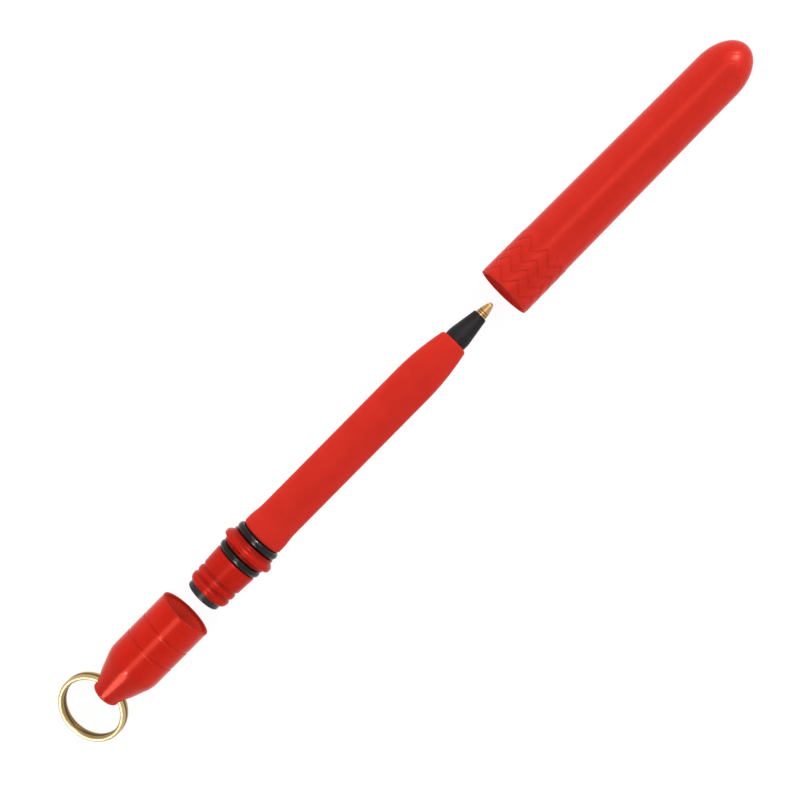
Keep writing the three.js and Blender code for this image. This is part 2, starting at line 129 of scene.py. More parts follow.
@dataclass
class Skin:
    """A mesh before it is an object: points in metres, and faces that look outwards."""

    points: Array
    quads: Array
    triangles: Array
    uvs: Array | None = None
    shares: dict[str, Array] = field(default_factory=dict)

    def to_mesh(self, name: str) -> bpy.types.Mesh:
        """Fill a Blender mesh with this skin.

        Args:
            name: Name of the mesh.

        Returns:
            The smoothly shaded mesh, with the skin's UV map and shares if it has any.
        """
        mesh = bpy.data.meshes.new(name)
        faces = self.quads.tolist() + self.triangles.tolist()
        mesh.from_pydata(self.points.tolist(), [], faces)
        mesh.polygons.foreach_set("use_smooth", np.ones(len(faces), bool))
        if self.uvs is not None:
            corners = np.empty(len(mesh.loops), np.int32)
            mesh.loops.foreach_get("vertex_index", corners)
            layer = mesh.uv_layers.new(name="along_and_round")
            layer.data.foreach_set("uv", self.uvs[corners].astype(np.float32).ravel())
        for label, share in self.shares.items():
            values = mesh.attributes.new(label, "FLOAT", "POINT")
            values.data.foreach_set("value", share.astype(np.float32).ravel())
        mesh.validate()
        mesh.update()
        return mesh


class Outline:
    """The half section of a round piece, as places along its axis and radii."""

    BEND_STEPS = 6
    HOLD_SHARE = 0.3
    CUT_SHARE = 0.45

    def __init__(self, place: float, radius: float, rounding: float = 0) -> None:
        """Start the outline at one corner."""
        self.corners = [(place, radius, rounding)]

    def to(self, place: float, radius: float, rounding: float = 0) -> "Outline":
        """Go straight to a corner, whose edge is rounded off over the given length."""
        self.corners.append((place, radius, rounding))
        return self

    def follow(self, rounding: float, *corners: tuple[float, float]) -> "Outline":
        """Go straight from corner to corner, all rounded over the same length.

        Args:
            rounding: Length over which each edge is rounded.
            corners: Place and radius of each corner.

        Returns:
            The outline.
        """
        for place, radius in corners:
            self.to(place, radius, rounding)
        return self

    def trace(self, places: Array, radii: Array) -> "Outline":
        """Follow points of a smooth curve."""
        self.corners.extend((place, radius, 0) for place, radius in zip(places, radii))
        return self

    def turn_across(self, place: float, radius: float, steps: int = 16) -> "Outline":
        """Follow a quarter ellipse that sets off along the axis and ends square to it.

        Args:
            place: Place where it ends.
            radius: Radius where it ends.
            steps: Number of points.

        Returns:
            The outline: places rise by the sine and radii fall by the cosine.
        """
        start, first, _ = self.corners[-1]
        angles = np.linspace(0, math.pi / 2, steps + 1)[1:]
        return self.trace(
            start + (place - start) * np.sin(angles),
            radius + (first - radius) * np.cos(angles),
        )

    def turn_along(self, place: float, radius: float, steps: int = 16) -> "Outline":
        """Follow a quarter ellipse that sets off square to the axis and ends along it.

        Args:
            place: Place where it ends.
            radius: Radius where it ends.
            steps: Number of points.

        Returns:
            The outline: radii rise by the sine and places go by one minus the cosine.
        """
        start, first, _ = self.corners[-1]
        angles = np.linspace(0, math.pi / 2, steps + 1)[1:]
        return self.trace(
            place + (start - place) * np.cos(angles),
            first + (radius - first) * np.sin(angles),
        )

    def ease(self, place: float, radius: float, steps: int = 20) -> "Outline":
        """Follow half a cosine wave, level at both ends.

        Args:
            place: Place where it ends.
            radius: Radius where it ends.
            steps: Number of points.

        Returns:
            The outline with the wave added.
        """
        start, first, _ = self.corners[-1]
        shares = np.linspace(0, 1, steps + 1)[1:]
        return self.trace(
            start + (place - start) * shares,
            radius + (first - radius) * (1 + np.cos(math.pi * shares)) / 2,
        )

    def groove(self, middle: float, width: float, depth: float, rounding: float) -> "Outline":
        """Cut a groove with sloping sides into a straight stretch.

        Args:
            middle: Place of the groove's middle.
            width: Width at the surface. The floor is half as wide.
            depth: Depth below the radius that the outline has come to.
            rounding: Length over which its four edges are rounded.

        Returns:
            The outline with the groove added, cut in the way that the outline runs.
        """
        start, radius, _ = self.corners[-1]
        side = math.copysign(width, middle - start)
        self.to(middle - side / 2, radius, rounding)
        self.to(middle - side / 4, radius - depth, rounding)
        self.to(middle + side / 4, radius - depth, rounding)
        return self.to(middle + side / 2, radius, rounding)

    def points(self, closed: bool = False, longest: float = 2) -> Array:
        """Work out the outline's points with its corners rounded.

        A corner C that is rounded over a length becomes the curve
        (1 - u)^2 P + 2 u (1 - u) C + u^2 Q, where P and Q lie that length before and
        after it, or less where a side is short. A point a little beyond each end holds
        the straight part straight.

        Args:
            closed: Whether the last corner is joined to the first.
            longest: Longest stretch that isn't split.

        Returns:
            An array with a row for each point: its place and its radius.
        """
        corners = np.array(self.corners, float)
        count = len(corners)
        rows = []
        for index, (place, radius, rounding) in enumerate(corners):
            corner = np.array([place, radius])
            at_end = not closed and index in (0, count - 1)
            if rounding <= 0 or at_end:
                rows.append(corner[None])
                continue
            ways = corners[[index - 1, (index + 1) % count], :2] - corner
            lengths = np.linalg.norm(ways, axis=1)
            cut = min(rounding, self.CUT_SHARE * lengths.min() / (1 + self.HOLD_SHARE))
            ways /= lengths[:, None]
            before, after = corner + cut * ways
            holds = corner + cut * (1 + self.HOLD_SHARE) * ways
            share = np.linspace(0, 1, self.BEND_STEPS + 1)[:, None]
            bend = (1 - share) ** 2 * before + 2 * share * (1 - share) * corner
            rows.append(np.vstack([holds[:1], bend + share**2 * after, holds[1:]]))
        points = np.vstack(rows + ([rows[0][:1]] if closed else []))
        return split_long(points, longest, closed)


def split_long(points: Array, longest: float, closed: bool) -> Array:
    """Split each stretch of a chain of points that is longer than a given length.

    Args:
        points: The chain, a row for each point.
        longest: Longest stretch that isn't split.
        closed: Whether the last point repeats the first, and is then left out.

    Returns:
        The chain with evenly spaced points added.
    """
    steps = np.linalg.norm(np.diff(points, axis=0), axis=1)
    parts = np.maximum(np.ceil(steps / longest).astype(int), 1)
    keys = np.concatenate([[0], np.cumsum(parts)])
    whole = np.arange(keys[-1] + 1)
    chain = np.column_stack([np.interp(whole, keys, column) for column in points.T])
    return chain[:-1] if closed else chain


def revolve(
    points: Array,
    origin: Vector,
    closed: bool = False,
    turns: int = 192,
    fit: float = THICK,
    relief: Array | None = None,
    shares: dict[str, Array] | None = None,
) -> Skin:
    """Turn an outline round a line along X.

    A point at place p and radius r becomes a ring of points: x = p, y = r cos a and
    z = r sin a, with the angle a from 0 to a full turn. A radius of 0 is one point.

    Args:
        points: The outline, a row for each place and radius.
        origin: Where place 0 lies on the axis, in metres.
        closed: Whether the last row is joined to the first.
        turns: Number of points in a ring.
        fit: Factor on the radii, which keeps the piece inside the frame's flat sides.
        relief: Lengths added to the radii, a row for each point and a column for each
            angle.
        shares: Named values from 0 to 1 for the finishes, with a row for each point.

    Returns:
        The skin, with faces that look out where the outline's places rise.
    """
    places, radii = points.T
    angles = np.arange(turns) * 2 * math.pi / turns
    lift = np.zeros((len(points), turns)) if relief is None else relief
    reach = radii[:, None] * fit + lift
    grid = np.stack(
        [
            np.broadcast_to(places[:, None], reach.shape),
            reach * np.cos(angles),
            reach * np.sin(angles),
        ],
        axis=2,
    )
    is_pole = radii < POLE_RADIUS
    sizes = np.where(is_pole, 1, turns)
    starts = np.concatenate([[0], np.cumsum(sizes)[:-1]])
    numbers = starts[:, None] + np.where(is_pole[:, None], 0, np.arange(turns))
    used = ~is_pole[:, None] | (np.arange(turns) == 0)
    rows = np.arange(len(points) if closed else len(points) - 1)
    after = (rows + 1) % len(points)
    near, far = numbers[rows], numbers[after]
    near_next, far_next = np.roll(near, -1, axis=1), np.roll(far, -1, axis=1)
    both = ~is_pole[rows] & ~is_pole[after]
    opens = is_pole[rows] & ~is_pole[after]
    shuts = ~is_pole[rows] & is_pole[after]
    quads = np.stack([near, near_next, far_next, far], axis=2)[both].reshape(-1, 4)
    fans = np.stack([near, far_next, far], axis=2)[opens].reshape(-1, 3)
    tips = np.stack([near, near_next, far], axis=2)[shuts].reshape(-1, 3)
    placed = grid[used] * MM + np.array(origin)
    named = {
        label: np.broadcast_to(share, reach.shape)[used]
        for label, share in (shares or {}).items()
    }
    return Skin(placed, quads, np.vstack([fans, tips]), shares=named)


# Shader nodes


class Wire:
    """What comes out of a node, with the sums and products that can be made of it."""

    def __init__(self, board: "Board", socket: bpy.types.NodeSocket) -> None:
        """Hold on to one output socket."""
        self.board = board
        self.socket = socket

    def math(self, operation: str, *others: Any) -> "Wire":
        """Add a Math node whose first value is this one."""
        return self.board.sum(operation, self, *others)

    def __add__(self, other: Any) -> "Wire":
        """Add a number or another wire."""
        return self.math("ADD", other)

    def __sub__(self, other: Any) -> "Wire":
        """Take away a number or another wire."""
        return self.math("SUBTRACT", other)

    def __rsub__(self, other: Any) -> "Wire":
        """Be taken away from a number."""
        return self.board.sum("SUBTRACT", other, self)

    def __mul__(self, other: Any) -> "Wire":
        """Multiply by a number or another wire."""
        return self.math("MULTIPLY", other)


class Board:
    """The node tree of one material, or of the room."""

    def __init__(self, owner: bpy.types.Material | bpy.types.World) -> None:
        """Empty the owner's node tree.

        Args:
            owner: The material or the world.
        """
        self.owner = owner
        owner.use_nodes = True
        self.tree = owner.node_tree
        self.tree.nodes.clear()

    def add(self, kind: str, settings: dict[str, Any], values: dict[Any, Any]) -> bpy.types.Node:
        """Add any node.

        Args:
            kind: The node's type.
            settings: Properties that are set first.
            values: A number, colour, vector or wire for each named or numbered socket.

        Returns:
            The node.
        """
        node = self.tree.nodes.new(kind)
        for key, setting in settings.items():
            setattr(node, key, setting)
        for key, value in values.items():
            if isinstance(value, Wire):
                self.tree.links.new(value.socket, node.inputs[key])
            else:
                node.inputs[key].default_value = value
        return node

    def wire(self, node: bpy.types.Node, output: Any = 0) -> Wire:
        """Take one output of a node."""
        return Wire(self, node.outputs[output])

    def sum(self, operation: str, *values: Any) -> Wire:
        """Add a Math node, whose inputs in order are numbers or wires."""
        inputs = dict(enumerate(values))
        return self.wire(self.add("ShaderNodeMath", {"operation": operation}, inputs))

    def place(self, centre: Vector, stretch: tuple[float, float, float] = (1, 1, 1)) -> Wire:
        """Give the place on the piece, in millimetres from a point, stretched by axis.

        Args:
            centre: The point in metres.
            stretch: Factors along X, Y and Z.

        Returns:
            The vector (place - centre) / MM, times the stretch.
        """
        here = self.wire(self.add("ShaderNodeTexCoord", {}, {}), "Object")
        scale = tuple(factor / MM for factor in stretch)
        shift = tuple(-value * factor for value, factor in zip(centre, scale))
        values = {"Vector": here, "Location": shift, "Scale": scale}
        return self.wire(self.add("ShaderNodeMapping", {}, values))

    def parts(self, vector: Wire) -> tuple[Wire, Wire, Wire]:
        """Split a vector into its X, Y and Z."""
        node = self.add("ShaderNodeSeparateXYZ", {}, {0: vector})
        return tuple(self.wire(node, index) for index in range(3))

    def noise(self, place: Wire, size: float, detail: float = 2, rough: float = 0.5) -> Wire:
        """Give smooth noise of about 0 to 1, with blots of a size in millimetres."""
        values = {"Vector": place, "Scale": 1 / size, "Detail": detail, "Roughness": rough}
        return self.wire(self.add("ShaderNodeTexNoise", {}, values), "Fac")

    def step(self, value: Wire, start: float, end: float) -> Wire:
        """Rise smoothly from 0 to 1.

        Args:
            value: What is looked at.
            start: Value up to which the result is 0.
            end: Value from which the result is 1.

        Returns:
            The risen value.
        """
        settings = {"interpolation_type": "SMOOTHSTEP"}
        values = {"Value": value, 1: start, 2: end, 3: 0.0, 4: 1.0}
        return self.wire(self.add("ShaderNodeMapRange", settings, values), "Result")

    def mix(self, share: Any, first: Any, second: Any) -> Wire:
        """Mix two colours.

        Args:
            share: 0 for the first colour, 1 for the second.
            first: A linear colour or a wire.
            second: A linear colour or a wire.

        Returns:
            The mixed colour.
        """
        opaque = [value if isinstance(value, Wire) else (*value, 1) for value in (first, second)]
        settings = {"data_type": "RGBA", "clamp_factor": True}
        values = {0: share, 6: opaque[0], 7: opaque[1]}
        return self.wire(self.add("ShaderNodeMix", settings, values), 2)

    def share(self, label: str) -> Wire:
        """Read a named share that the mesh carries, 0 where it has none."""
        named = {"attribute_name": label}
        return self.wire(self.add("ShaderNodeAttribute", named, {}), "Fac")

    def bump(self, height: Wire, depth: float) -> Wire:
        """Give normals bent by a height of 0 to 1, which stands for a depth in millimetres."""
        values = {"Strength": 1, "Distance": depth * MM, "Height": height}
        return self.wire(self.add("ShaderNodeBump", {}, values))

    def seen(self) -> Wire:
        """Tell what the camera sees, straight or by a mirror, from what only lights.

        Returns:
            1 for rays of the camera, of mirrors and through clear pieces, 0 for others.
        """
        rays = self.add("ShaderNodeLightPath", {}, {})
        names = ("Is Camera Ray", "Is Glossy Ray", "Is Transmission Ray")
        camera, glossy, clear = (self.wire(rays, name) for name in names)
        return camera.math("MAXIMUM", glossy).math("MAXIMUM", clear)

    def choose(self, share: Wire, first: bpy.types.Node, second: bpy.types.Node) -> Wire:
        """Mix two shaders: 0 for the first, 1 for the second."""
        values = {0: share, 1: self.wire(first), 2: self.wire(second)}
        return self.wire(self.add("ShaderNodeMixShader", {}, values))

    def finish(self, values: dict[str, Any]) -> bpy.types.Material:
        """Close the tree with a Principled surface.

        Args:
            values: Values and wires of the surface's own sockets.

        Returns:
            The finished material.
        """
        shader = self.add("ShaderNodeBsdfPrincipled", {}, values)
        self.add("ShaderNodeOutputMaterial", {}, {"Surface": self.wire(shader)})
        return self.owner


# Finishes


@dataclass(frozen=True)
class Finish(ABC):
    """How a kind of surface looks."""

    slot: Slot
    colour: Colour

    @abstractmethod
    def sockets(self, board: Board, centre: Vector) -> dict[str, Any]:
        """Add the finish's patterns.

        Args:
            board: Node tree to add them to.
            centre: Middle of the piece, in metres, on which they are centred.

        Returns:
            Values and wires of the surface's sockets.
        """

    def make(self, centre: Vector) -> bpy.types.Material:
        """Make the material, with its patterns centred on a point given in metres."""
        board = Board(bpy.data.materials.new(self.slot.value))
        return board.finish(self.sockets(board, centre))


@dataclass(frozen=True)
class Plastic(Finish):
    """Moulded plastic: an even colour, a fine grain, soft dimples and faint rubbing.

    The share of metallic flakes gives its reflections the plastic's own colour.
    """

    shade: Colour
    roughness: float
    specular: float
    grain_size: float
    grain_depth: float
    dimple_depth: float = 0.002
    flakes: float = 0.0
    tint: Colour = (1, 1, 1)
    rubbing: float = 0.04
    sheen: float = 0.0
    # The next colour is painted shade: it darkens grooves, crevices and rims where the mesh
    # marks them.
    painted_shade_colour: Colour | None = None
    # The next colour is painted light: a lighter colour that brightens the bores.
    painted_bore_light: Colour | None = None
    inside_dullness: float = 0.45
    cloud_size: float = 6
    streak_size: float = 1.6
    streak_stretch: float = 0.12
    dimple_size: float = 2.4
    sheen_roughness: float = 0.3

    def sockets(self, board: Board, centre: Vector) -> dict[str, Any]:
        """Add the finish's patterns.

        Colour varies in wide soft clouds between the colour and its darker shade.
        Roughness varies with streaks along the axis, where fingers rub the piece. The
        bump adds the fine grain of the mould to shallow dimples.

        Args:
            board: Node tree to add them to.
            centre: Middle of the piece, in metres.

        Returns:
            Values and wires of the surface's sockets.
        """
        place = board.place(centre)
        clouds = board.noise(place, self.cloud_size, 3)
        along = board.place(centre, (self.streak_stretch, 1, 1))
        streaks = board.noise(along, self.streak_size, 4, 0.6)
        grain = board.noise(place, self.grain_size, 3, 0.6)
        dimples = board.noise(place, self.dimple_size, 1)
        share = board.step(clouds, 0.35, 0.7) * 0.8 + grain * 0.2
        fine = board.bump(grain, self.grain_depth)
        wide = board.add(
            "ShaderNodeBump",
            {},
            {"Distance": self.dimple_depth * MM, "Height": dimples, "Normal": fine},
        )
        roughness = (streaks - 0.5) * (2 * self.rubbing) + self.roughness
        colour = board.mix(share, self.colour, self.shade)
        # Painted shade: a darker colour where the mesh marks grooves, crevices and rims.
        if self.painted_shade_colour is not None:
            colour = board.mix(board.share("painted_shade"), colour, self.painted_shade_colour)
        # Painted light: the bore's colour is lighter than the lamps make it, and its roughness
        # is raised.
        if self.painted_bore_light is not None:
            inside = board.share("inside")
            colour = board.mix(inside, colour, self.painted_bore_light)
            roughness = roughness + (inside + board.share("edge")) * self.inside_dullness
        return {
            "Base Color": colour,
            "Metallic": self.flakes,
            "Roughness": roughness + (grain - 0.5) * self.rubbing,
            "Specular IOR Level": self.specular,
            "Specular Tint": (*self.tint, 1),
            "Sheen Weight": self.sheen,
            "Sheen Roughness": self.sheen_roughness,
            "Sheen Tint": (*self.tint, 1),
            "Normal": board.wire(wide),
        }


@dataclass(frozen=True)
class Rubber(Finish):
    """Black rubber of an O-ring: greased here and there, with the mould's fine line."""

    roughness: float = 0.3
    specular: float = 0.22
    grease_size: float = 1.8
    pore_size: float = 0.09
    line_edges: tuple[float, float] = (0.02, 0.06)
    dry_gain: float = 1.6
    depth: float = 0.0012

    def sockets(self, board: Board, centre: Vector) -> dict[str, Any]:
        """Add the finish's patterns.

        Patches of grease are smoother than the dry rubber between them. The mould's
        parting line is a low ridge round the widest place of the ring.

        Args:
            board: Node tree to add them to.
            centre: Middle of the piece, in metres.

        Returns:
            Values and wires of the surface's sockets.
        """
        place = board.place(centre)
        along, _, _ = board.parts(place)
        grease = board.step(board.noise(place, self.grease_size, 3), 0.4, 0.62)
        pores = board.noise(place, self.pore_size, 2)
        line = 1 - board.step(along.math("ABSOLUTE"), *self.line_edges)
        share = grease * 0.7 + pores * 0.3
        dry = tuple(value * self.dry_gain for value in self.colour)
        return {
            "Base Color": board.mix(share, dry, self.colour),
            "Roughness": (1 - grease) * 0.06 + self.roughness,
            "Specular IOR Level": self.specular,
            "Normal": board.bump(pores * 0.3 + line * 0.4, self.depth),
        }


@dataclass(frozen=True)
class TurnedMetal(Finish):
    """Metal turned on a lathe, with fine lines round the axis."""

    shade: Colour
    # deep is painted shade for the turned grooves; rubbed is the tip's paler tone, both wear by
    # paper and painted light.
    deep: Colour
    rubbed: Colour
    roughness: float = 0.22
    line_size: float = 0.045
    line_depth: float = 0.0025
    cloud_size: float = 0.9

    def sockets(self, board: Board, centre: Vector) -> dict[str, Any]:
        """Add the finish's patterns.

        The lines are noise that changes quickly along the axis and slowly across it.
        Handling leaves darker, duller clouds. The darker colour in the turned grooves is
        painted shade. The blunt end round the ball is paler: rubbed by paper, and also
        painted light.

        Args:
            board: Node tree to add them to.
            centre: Middle of the piece, in metres.

        Returns:
            Values and wires of the surface's sockets.
        """
        lines = board.noise(board.place(centre, (1, 0.03, 0.03)), self.line_size, 2)
        tarnish = board.step(board.noise(board.place(centre), self.cloud_size, 3), 0.45, 0.75)
        worn = board.mix(tarnish * 0.7 + lines * 0.3, self.colour, self.shade)
        # The blunt tip is paler: wear by paper, and painted light.
        blunt = board.share("blunt")
        worn_and_painted_tip = board.mix(blunt, worn, self.rubbed)
        return {
            # Painted shade: the deep colour in the floors of the turned grooves.
            "Base Color": board.mix(board.share("painted_shade"), worn_and_painted_tip, self.deep),
            "Metallic": 1 - blunt * 0.75,
            "Roughness": lines * 0.14 + tarnish * 0.12 + self.roughness,
            "Normal": board.bump(lines, self.line_depth),
        }


@dataclass(frozen=True)
class PlatedWire(Finish):
    """Plated spring wire, drawn through a die, so that its lines run along it."""

    shade: Colour
    # deep is painted shade between the turns and inside the ring.
    deep: Colour
    roughness: float = 0.25
    line_size: float = 0.1
    line_stretch: float = 0.12
    line_depth: float = 0.0003
    patch_size: float = 2.2

    def sockets(self, board: Board, centre: Vector) -> dict[str, Any]:
        """Add the finish's patterns.

        The wire's UV map runs along it and round it, in millimetres. Draw lines are
        noise that changes quickly round the wire and slowly along it, and rubbed
        places are larger patches. The darker colour between the turns and inside the
        ring is painted shade.

        Args:
            board: Node tree to add them to.
            centre: Middle of the piece, in metres.

        Returns:
            Values and wires of the surface's sockets.
        """
        flat = board.wire(board.add("ShaderNodeUVMap", {"uv_map": "along_and_round"}, {}))
        values = {"Vector": flat, "Scale": (self.line_stretch, 1, 1)}
        stretched = board.wire(board.add("ShaderNodeMapping", {}, values))
        lines = board.noise(stretched, self.line_size, 3)
        rubbed = board.step(board.noise(board.place(centre), self.patch_size, 3), 0.4, 0.7)
        worn = board.mix(rubbed * 0.6 + lines * 0.3, self.colour, self.shade)
        return {
            # Painted shade where the share marks the turns' facing sides and the ring's inside.
            "Base Color": board.mix(board.share("painted_shade"), worn, self.deep),
            "Metallic": 1.0,
            "Roughness": lines * 0.06 + rubbed * 0.06 + self.roughness,
            "Normal": board.bump(lines, self.line_depth),
        }


@dataclass(frozen=True)
class InkedBall(Finish):
    """A polished carbide ball with a film of ink near its socket."""

    ink: Colour
    film_reach: float = 0.18
    speckle_size: float = 0.12
    speckle_depth: float = 0.001

    def sockets(self, board: Board, centre: Vector) -> dict[str, Any]:
        """Add the finish's patterns.

        The film is thick on the socket's side and thins out in streaks towards the
        bare front of the ball.

        Args:
            board: Node tree to add them to.
            centre: Middle of the piece, in metres.

        Returns:
            Values and wires of the surface's sockets.
        """
        place = board.place(centre)
        along, _, _ = board.parts(place)
        speckle = board.noise(place, self.speckle_size, 3)
        film = 1 - board.step(along + (speckle - 0.5) * 0.3, 0, self.film_reach)
        return {
            "Base Color": board.mix(film * 0.85, self.colour, self.ink),
            "Metallic": 0.2 - film * 0.1,
            "Roughness": speckle * 0.1 + 0.3,
            "Normal": board.bump(speckle, self.speckle_depth),
        }


@dataclass(frozen=True)
class ClearTube(Finish):
    """Milky clear plastic of the ink tube."""

    milk: Colour
    streak_size: float = 0.7
    streak_stretch: float = 0.05
    streak_depth: float = 0.004
    bending: float = 1.5
    clearness: float = 0.75

    def sockets(self, board: Board, centre: Vector) -> dict[str, Any]:
        """Add the finish's patterns.

        The plastic is a little milkier in long streaks, as drawn tube is.

        Args:
            board: Node tree to add them to.
            centre: Middle of the piece, in metres.

        Returns:
            Values and wires of the surface's sockets.
        """
        along = board.place(centre, (self.streak_stretch, 1, 1))
        streaks = board.noise(along, self.streak_size, 3)
        return {
            "Base Color": board.mix(streaks, self.colour, self.milk),
            "Roughness": streaks * 0.12 + 0.16,
            "IOR": self.bending,
            "Transmission Weight": self.clearness,
            "Normal": board.bump(streaks, self.streak_depth),
        }


@dataclass(frozen=True)
class WetInk(Finish):
    """Thick ink, dark where it is deep and blue at thin places."""

    thin: Colour
    swirl_size: float = 1.1
    swirl_stretch: float = 0.3
    swirl_depth: float = 0.01

    def sockets(self, board: Board, centre: Vector) -> dict[str, Any]:
        """Add the finish's patterns.

        Two blues are mixed in soft swirls, under a wet surface.

        Args:
            board: Node tree to add them to.
            centre: Middle of the piece, in metres.

        Returns:
            Values and wires of the surface's sockets.
        """
        along = board.place(centre, (self.swirl_stretch, 1, 1))
        swirls = board.noise(along, self.swirl_size, 4)
        return {
            "Base Color": board.mix(board.step(swirls, 0.45, 0.7), self.colour, self.thin),
            "Roughness": swirls * 0.1 + 0.08,
            "Normal": board.bump(swirls, self.swirl_depth),
        }


RED_GLANCE = (1.0, 0.16, 0.09)

# The painted shade colour of each red is painted shade for grooves, crevices and rims; its bore
# colour is painted light for the bores.
GLOSS_RED = Plastic(
    Slot.GLOSS_RED, screen(208, 29, 16), screen(202, 25, 13), 0.2, 0.14, 0.22, 0.0003,
    flakes=0.09, tint=(1.0, 1.0, 0.66), rubbing=0.03,
    painted_shade_colour=screen(166, 22, 12), painted_bore_light=screen(242, 76, 58),
)
CORE_RED = Plastic(
    Slot.GLOSS_RED, screen(196, 33, 22), screen(189, 29, 19), 0.24, 0.07, 0.22, 0.0003,
    flakes=0.05, tint=(1.0, 0.7, 0.5), rubbing=0.03, painted_shade_colour=screen(158, 25, 17),
)
SATIN_RED = Plastic(
    Slot.SATIN_RED, screen(210, 47, 36), screen(204, 44, 33), 0.27, 0.07, 0.16, 0.0012,
    flakes=0.05, tint=(1.0, 0.4, 0.28), sheen=0.02, painted_shade_colour=screen(193, 40, 32),
    painted_bore_light=screen(246, 80, 64),
)
MATT_RED = Plastic(
    Slot.MATT_RED, screen(209, 48, 37), screen(203, 45, 34), 0.62, 0.1, 0.13, 0.005,
    flakes=0.05, tint=RED_GLANCE, sheen=0.05,
)
BLACK_PLASTIC = Plastic(
    Slot.BLACK_PLASTIC, screen(32, 28, 30), screen(27, 23, 25), 0.5, 0.13, 0.15, 0.0012,
    rubbing=0.03,
)
SHINY_BLACK = Plastic(
    Slot.BLACK_PLASTIC, screen(24, 23, 26), screen(20, 19, 22), 0.26, 0.34, 0.15, 0.0004,
    rubbing=0.03,
)
BLACK_RUBBER = Rubber(Slot.BLACK_RUBBER, screen(15, 13, 11), 0.1)
# The third colour of the brass and of the wire is painted shade; the brass's fourth is partly
# painted light on its tip.
BRASS = TurnedMetal(
    Slot.BRASS, screen(190, 152, 101), screen(164, 127, 80), screen(108, 80, 48),
    screen(244, 208, 150),
)
GOLD_WIRE = PlatedWire(
    Slot.GOLD_WIRE, screen(200, 174, 126), screen(182, 154, 106), screen(104, 82, 48),
)
BALL_METAL = InkedBall(Slot.BALL_METAL, screen(250, 230, 192), screen(132, 108, 80))
CLEAR_PLASTIC = ClearTube(Slot.CLEAR_PLASTIC, screen(228, 230, 226), screen(206, 208, 204))
INK = WetInk(Slot.INK, screen(14, 14, 26), screen(28, 34, 86))


# Pieces


def middle_of(node: str) -> Vector:
    """Give the middle of a CAD node's box, in metres."""
    low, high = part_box(node)
    return (low + high) / 2


def add_object(name: str, data: bpy.types.ID) -> bpy.types.Object:
    """Put a new object in the scene.

    Args:
        name: Its name.
        data: Its mesh, lamp or camera.

    Returns:
        The object, at the origin.
    """
    item = bpy.data.objects.new(name, data)
    bpy.context.scene.collection.objects.link(item)
    return item


def axis_end(node: str, front: bool) -> Vector:
    """Give the middle of a CAD node's front or rear end.

    Args:
        node: The node.
        front: Whether it is the end towards +X.

    Returns:
        The point, in metres.
    """
    low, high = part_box(node)
    end = high if front else low
    return Vector((end.x, (low.y + high.y) / 2, (low.z + high.z) / 2))


def length_of(node: str) -> float:
    """Give a CAD node's length along X, in millimetres."""
    low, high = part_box(node)
    return (high.x - low.x) / MM


def set_piece(name: str, skin: Skin, body: Body, node: str, finish: Finish) -> bpy.types.Object:
    """Make an object of a skin, dress it and put it in the place of a CAD node.

    Args:
        name: Name of the new piece.
        skin: Its shape.
        body: Body that it moves with.
        node: CAD node that it stands for.
        finish: What its surface looks like.

    Returns:
        The object.
    """
    mesh = skin.to_mesh(name)
    mesh.set_sharp_from_angle(angle=SHARP_ANGLE)
    piece = add_object(name, mesh)
    mesh.materials.append(finish.make(middle_of(node)))
    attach(piece, body.value)
    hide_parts(node)
    LOG.info("%s: %d points, %d faces", name, len(mesh.vertices), len(mesh.polygons))
    return piece


class SubAssembly(ABC):
    """Pieces that belong together."""

    @abstractmethod
    def build(self) -> list[bpy.types.Object]:
        """Make and dress every piece."""


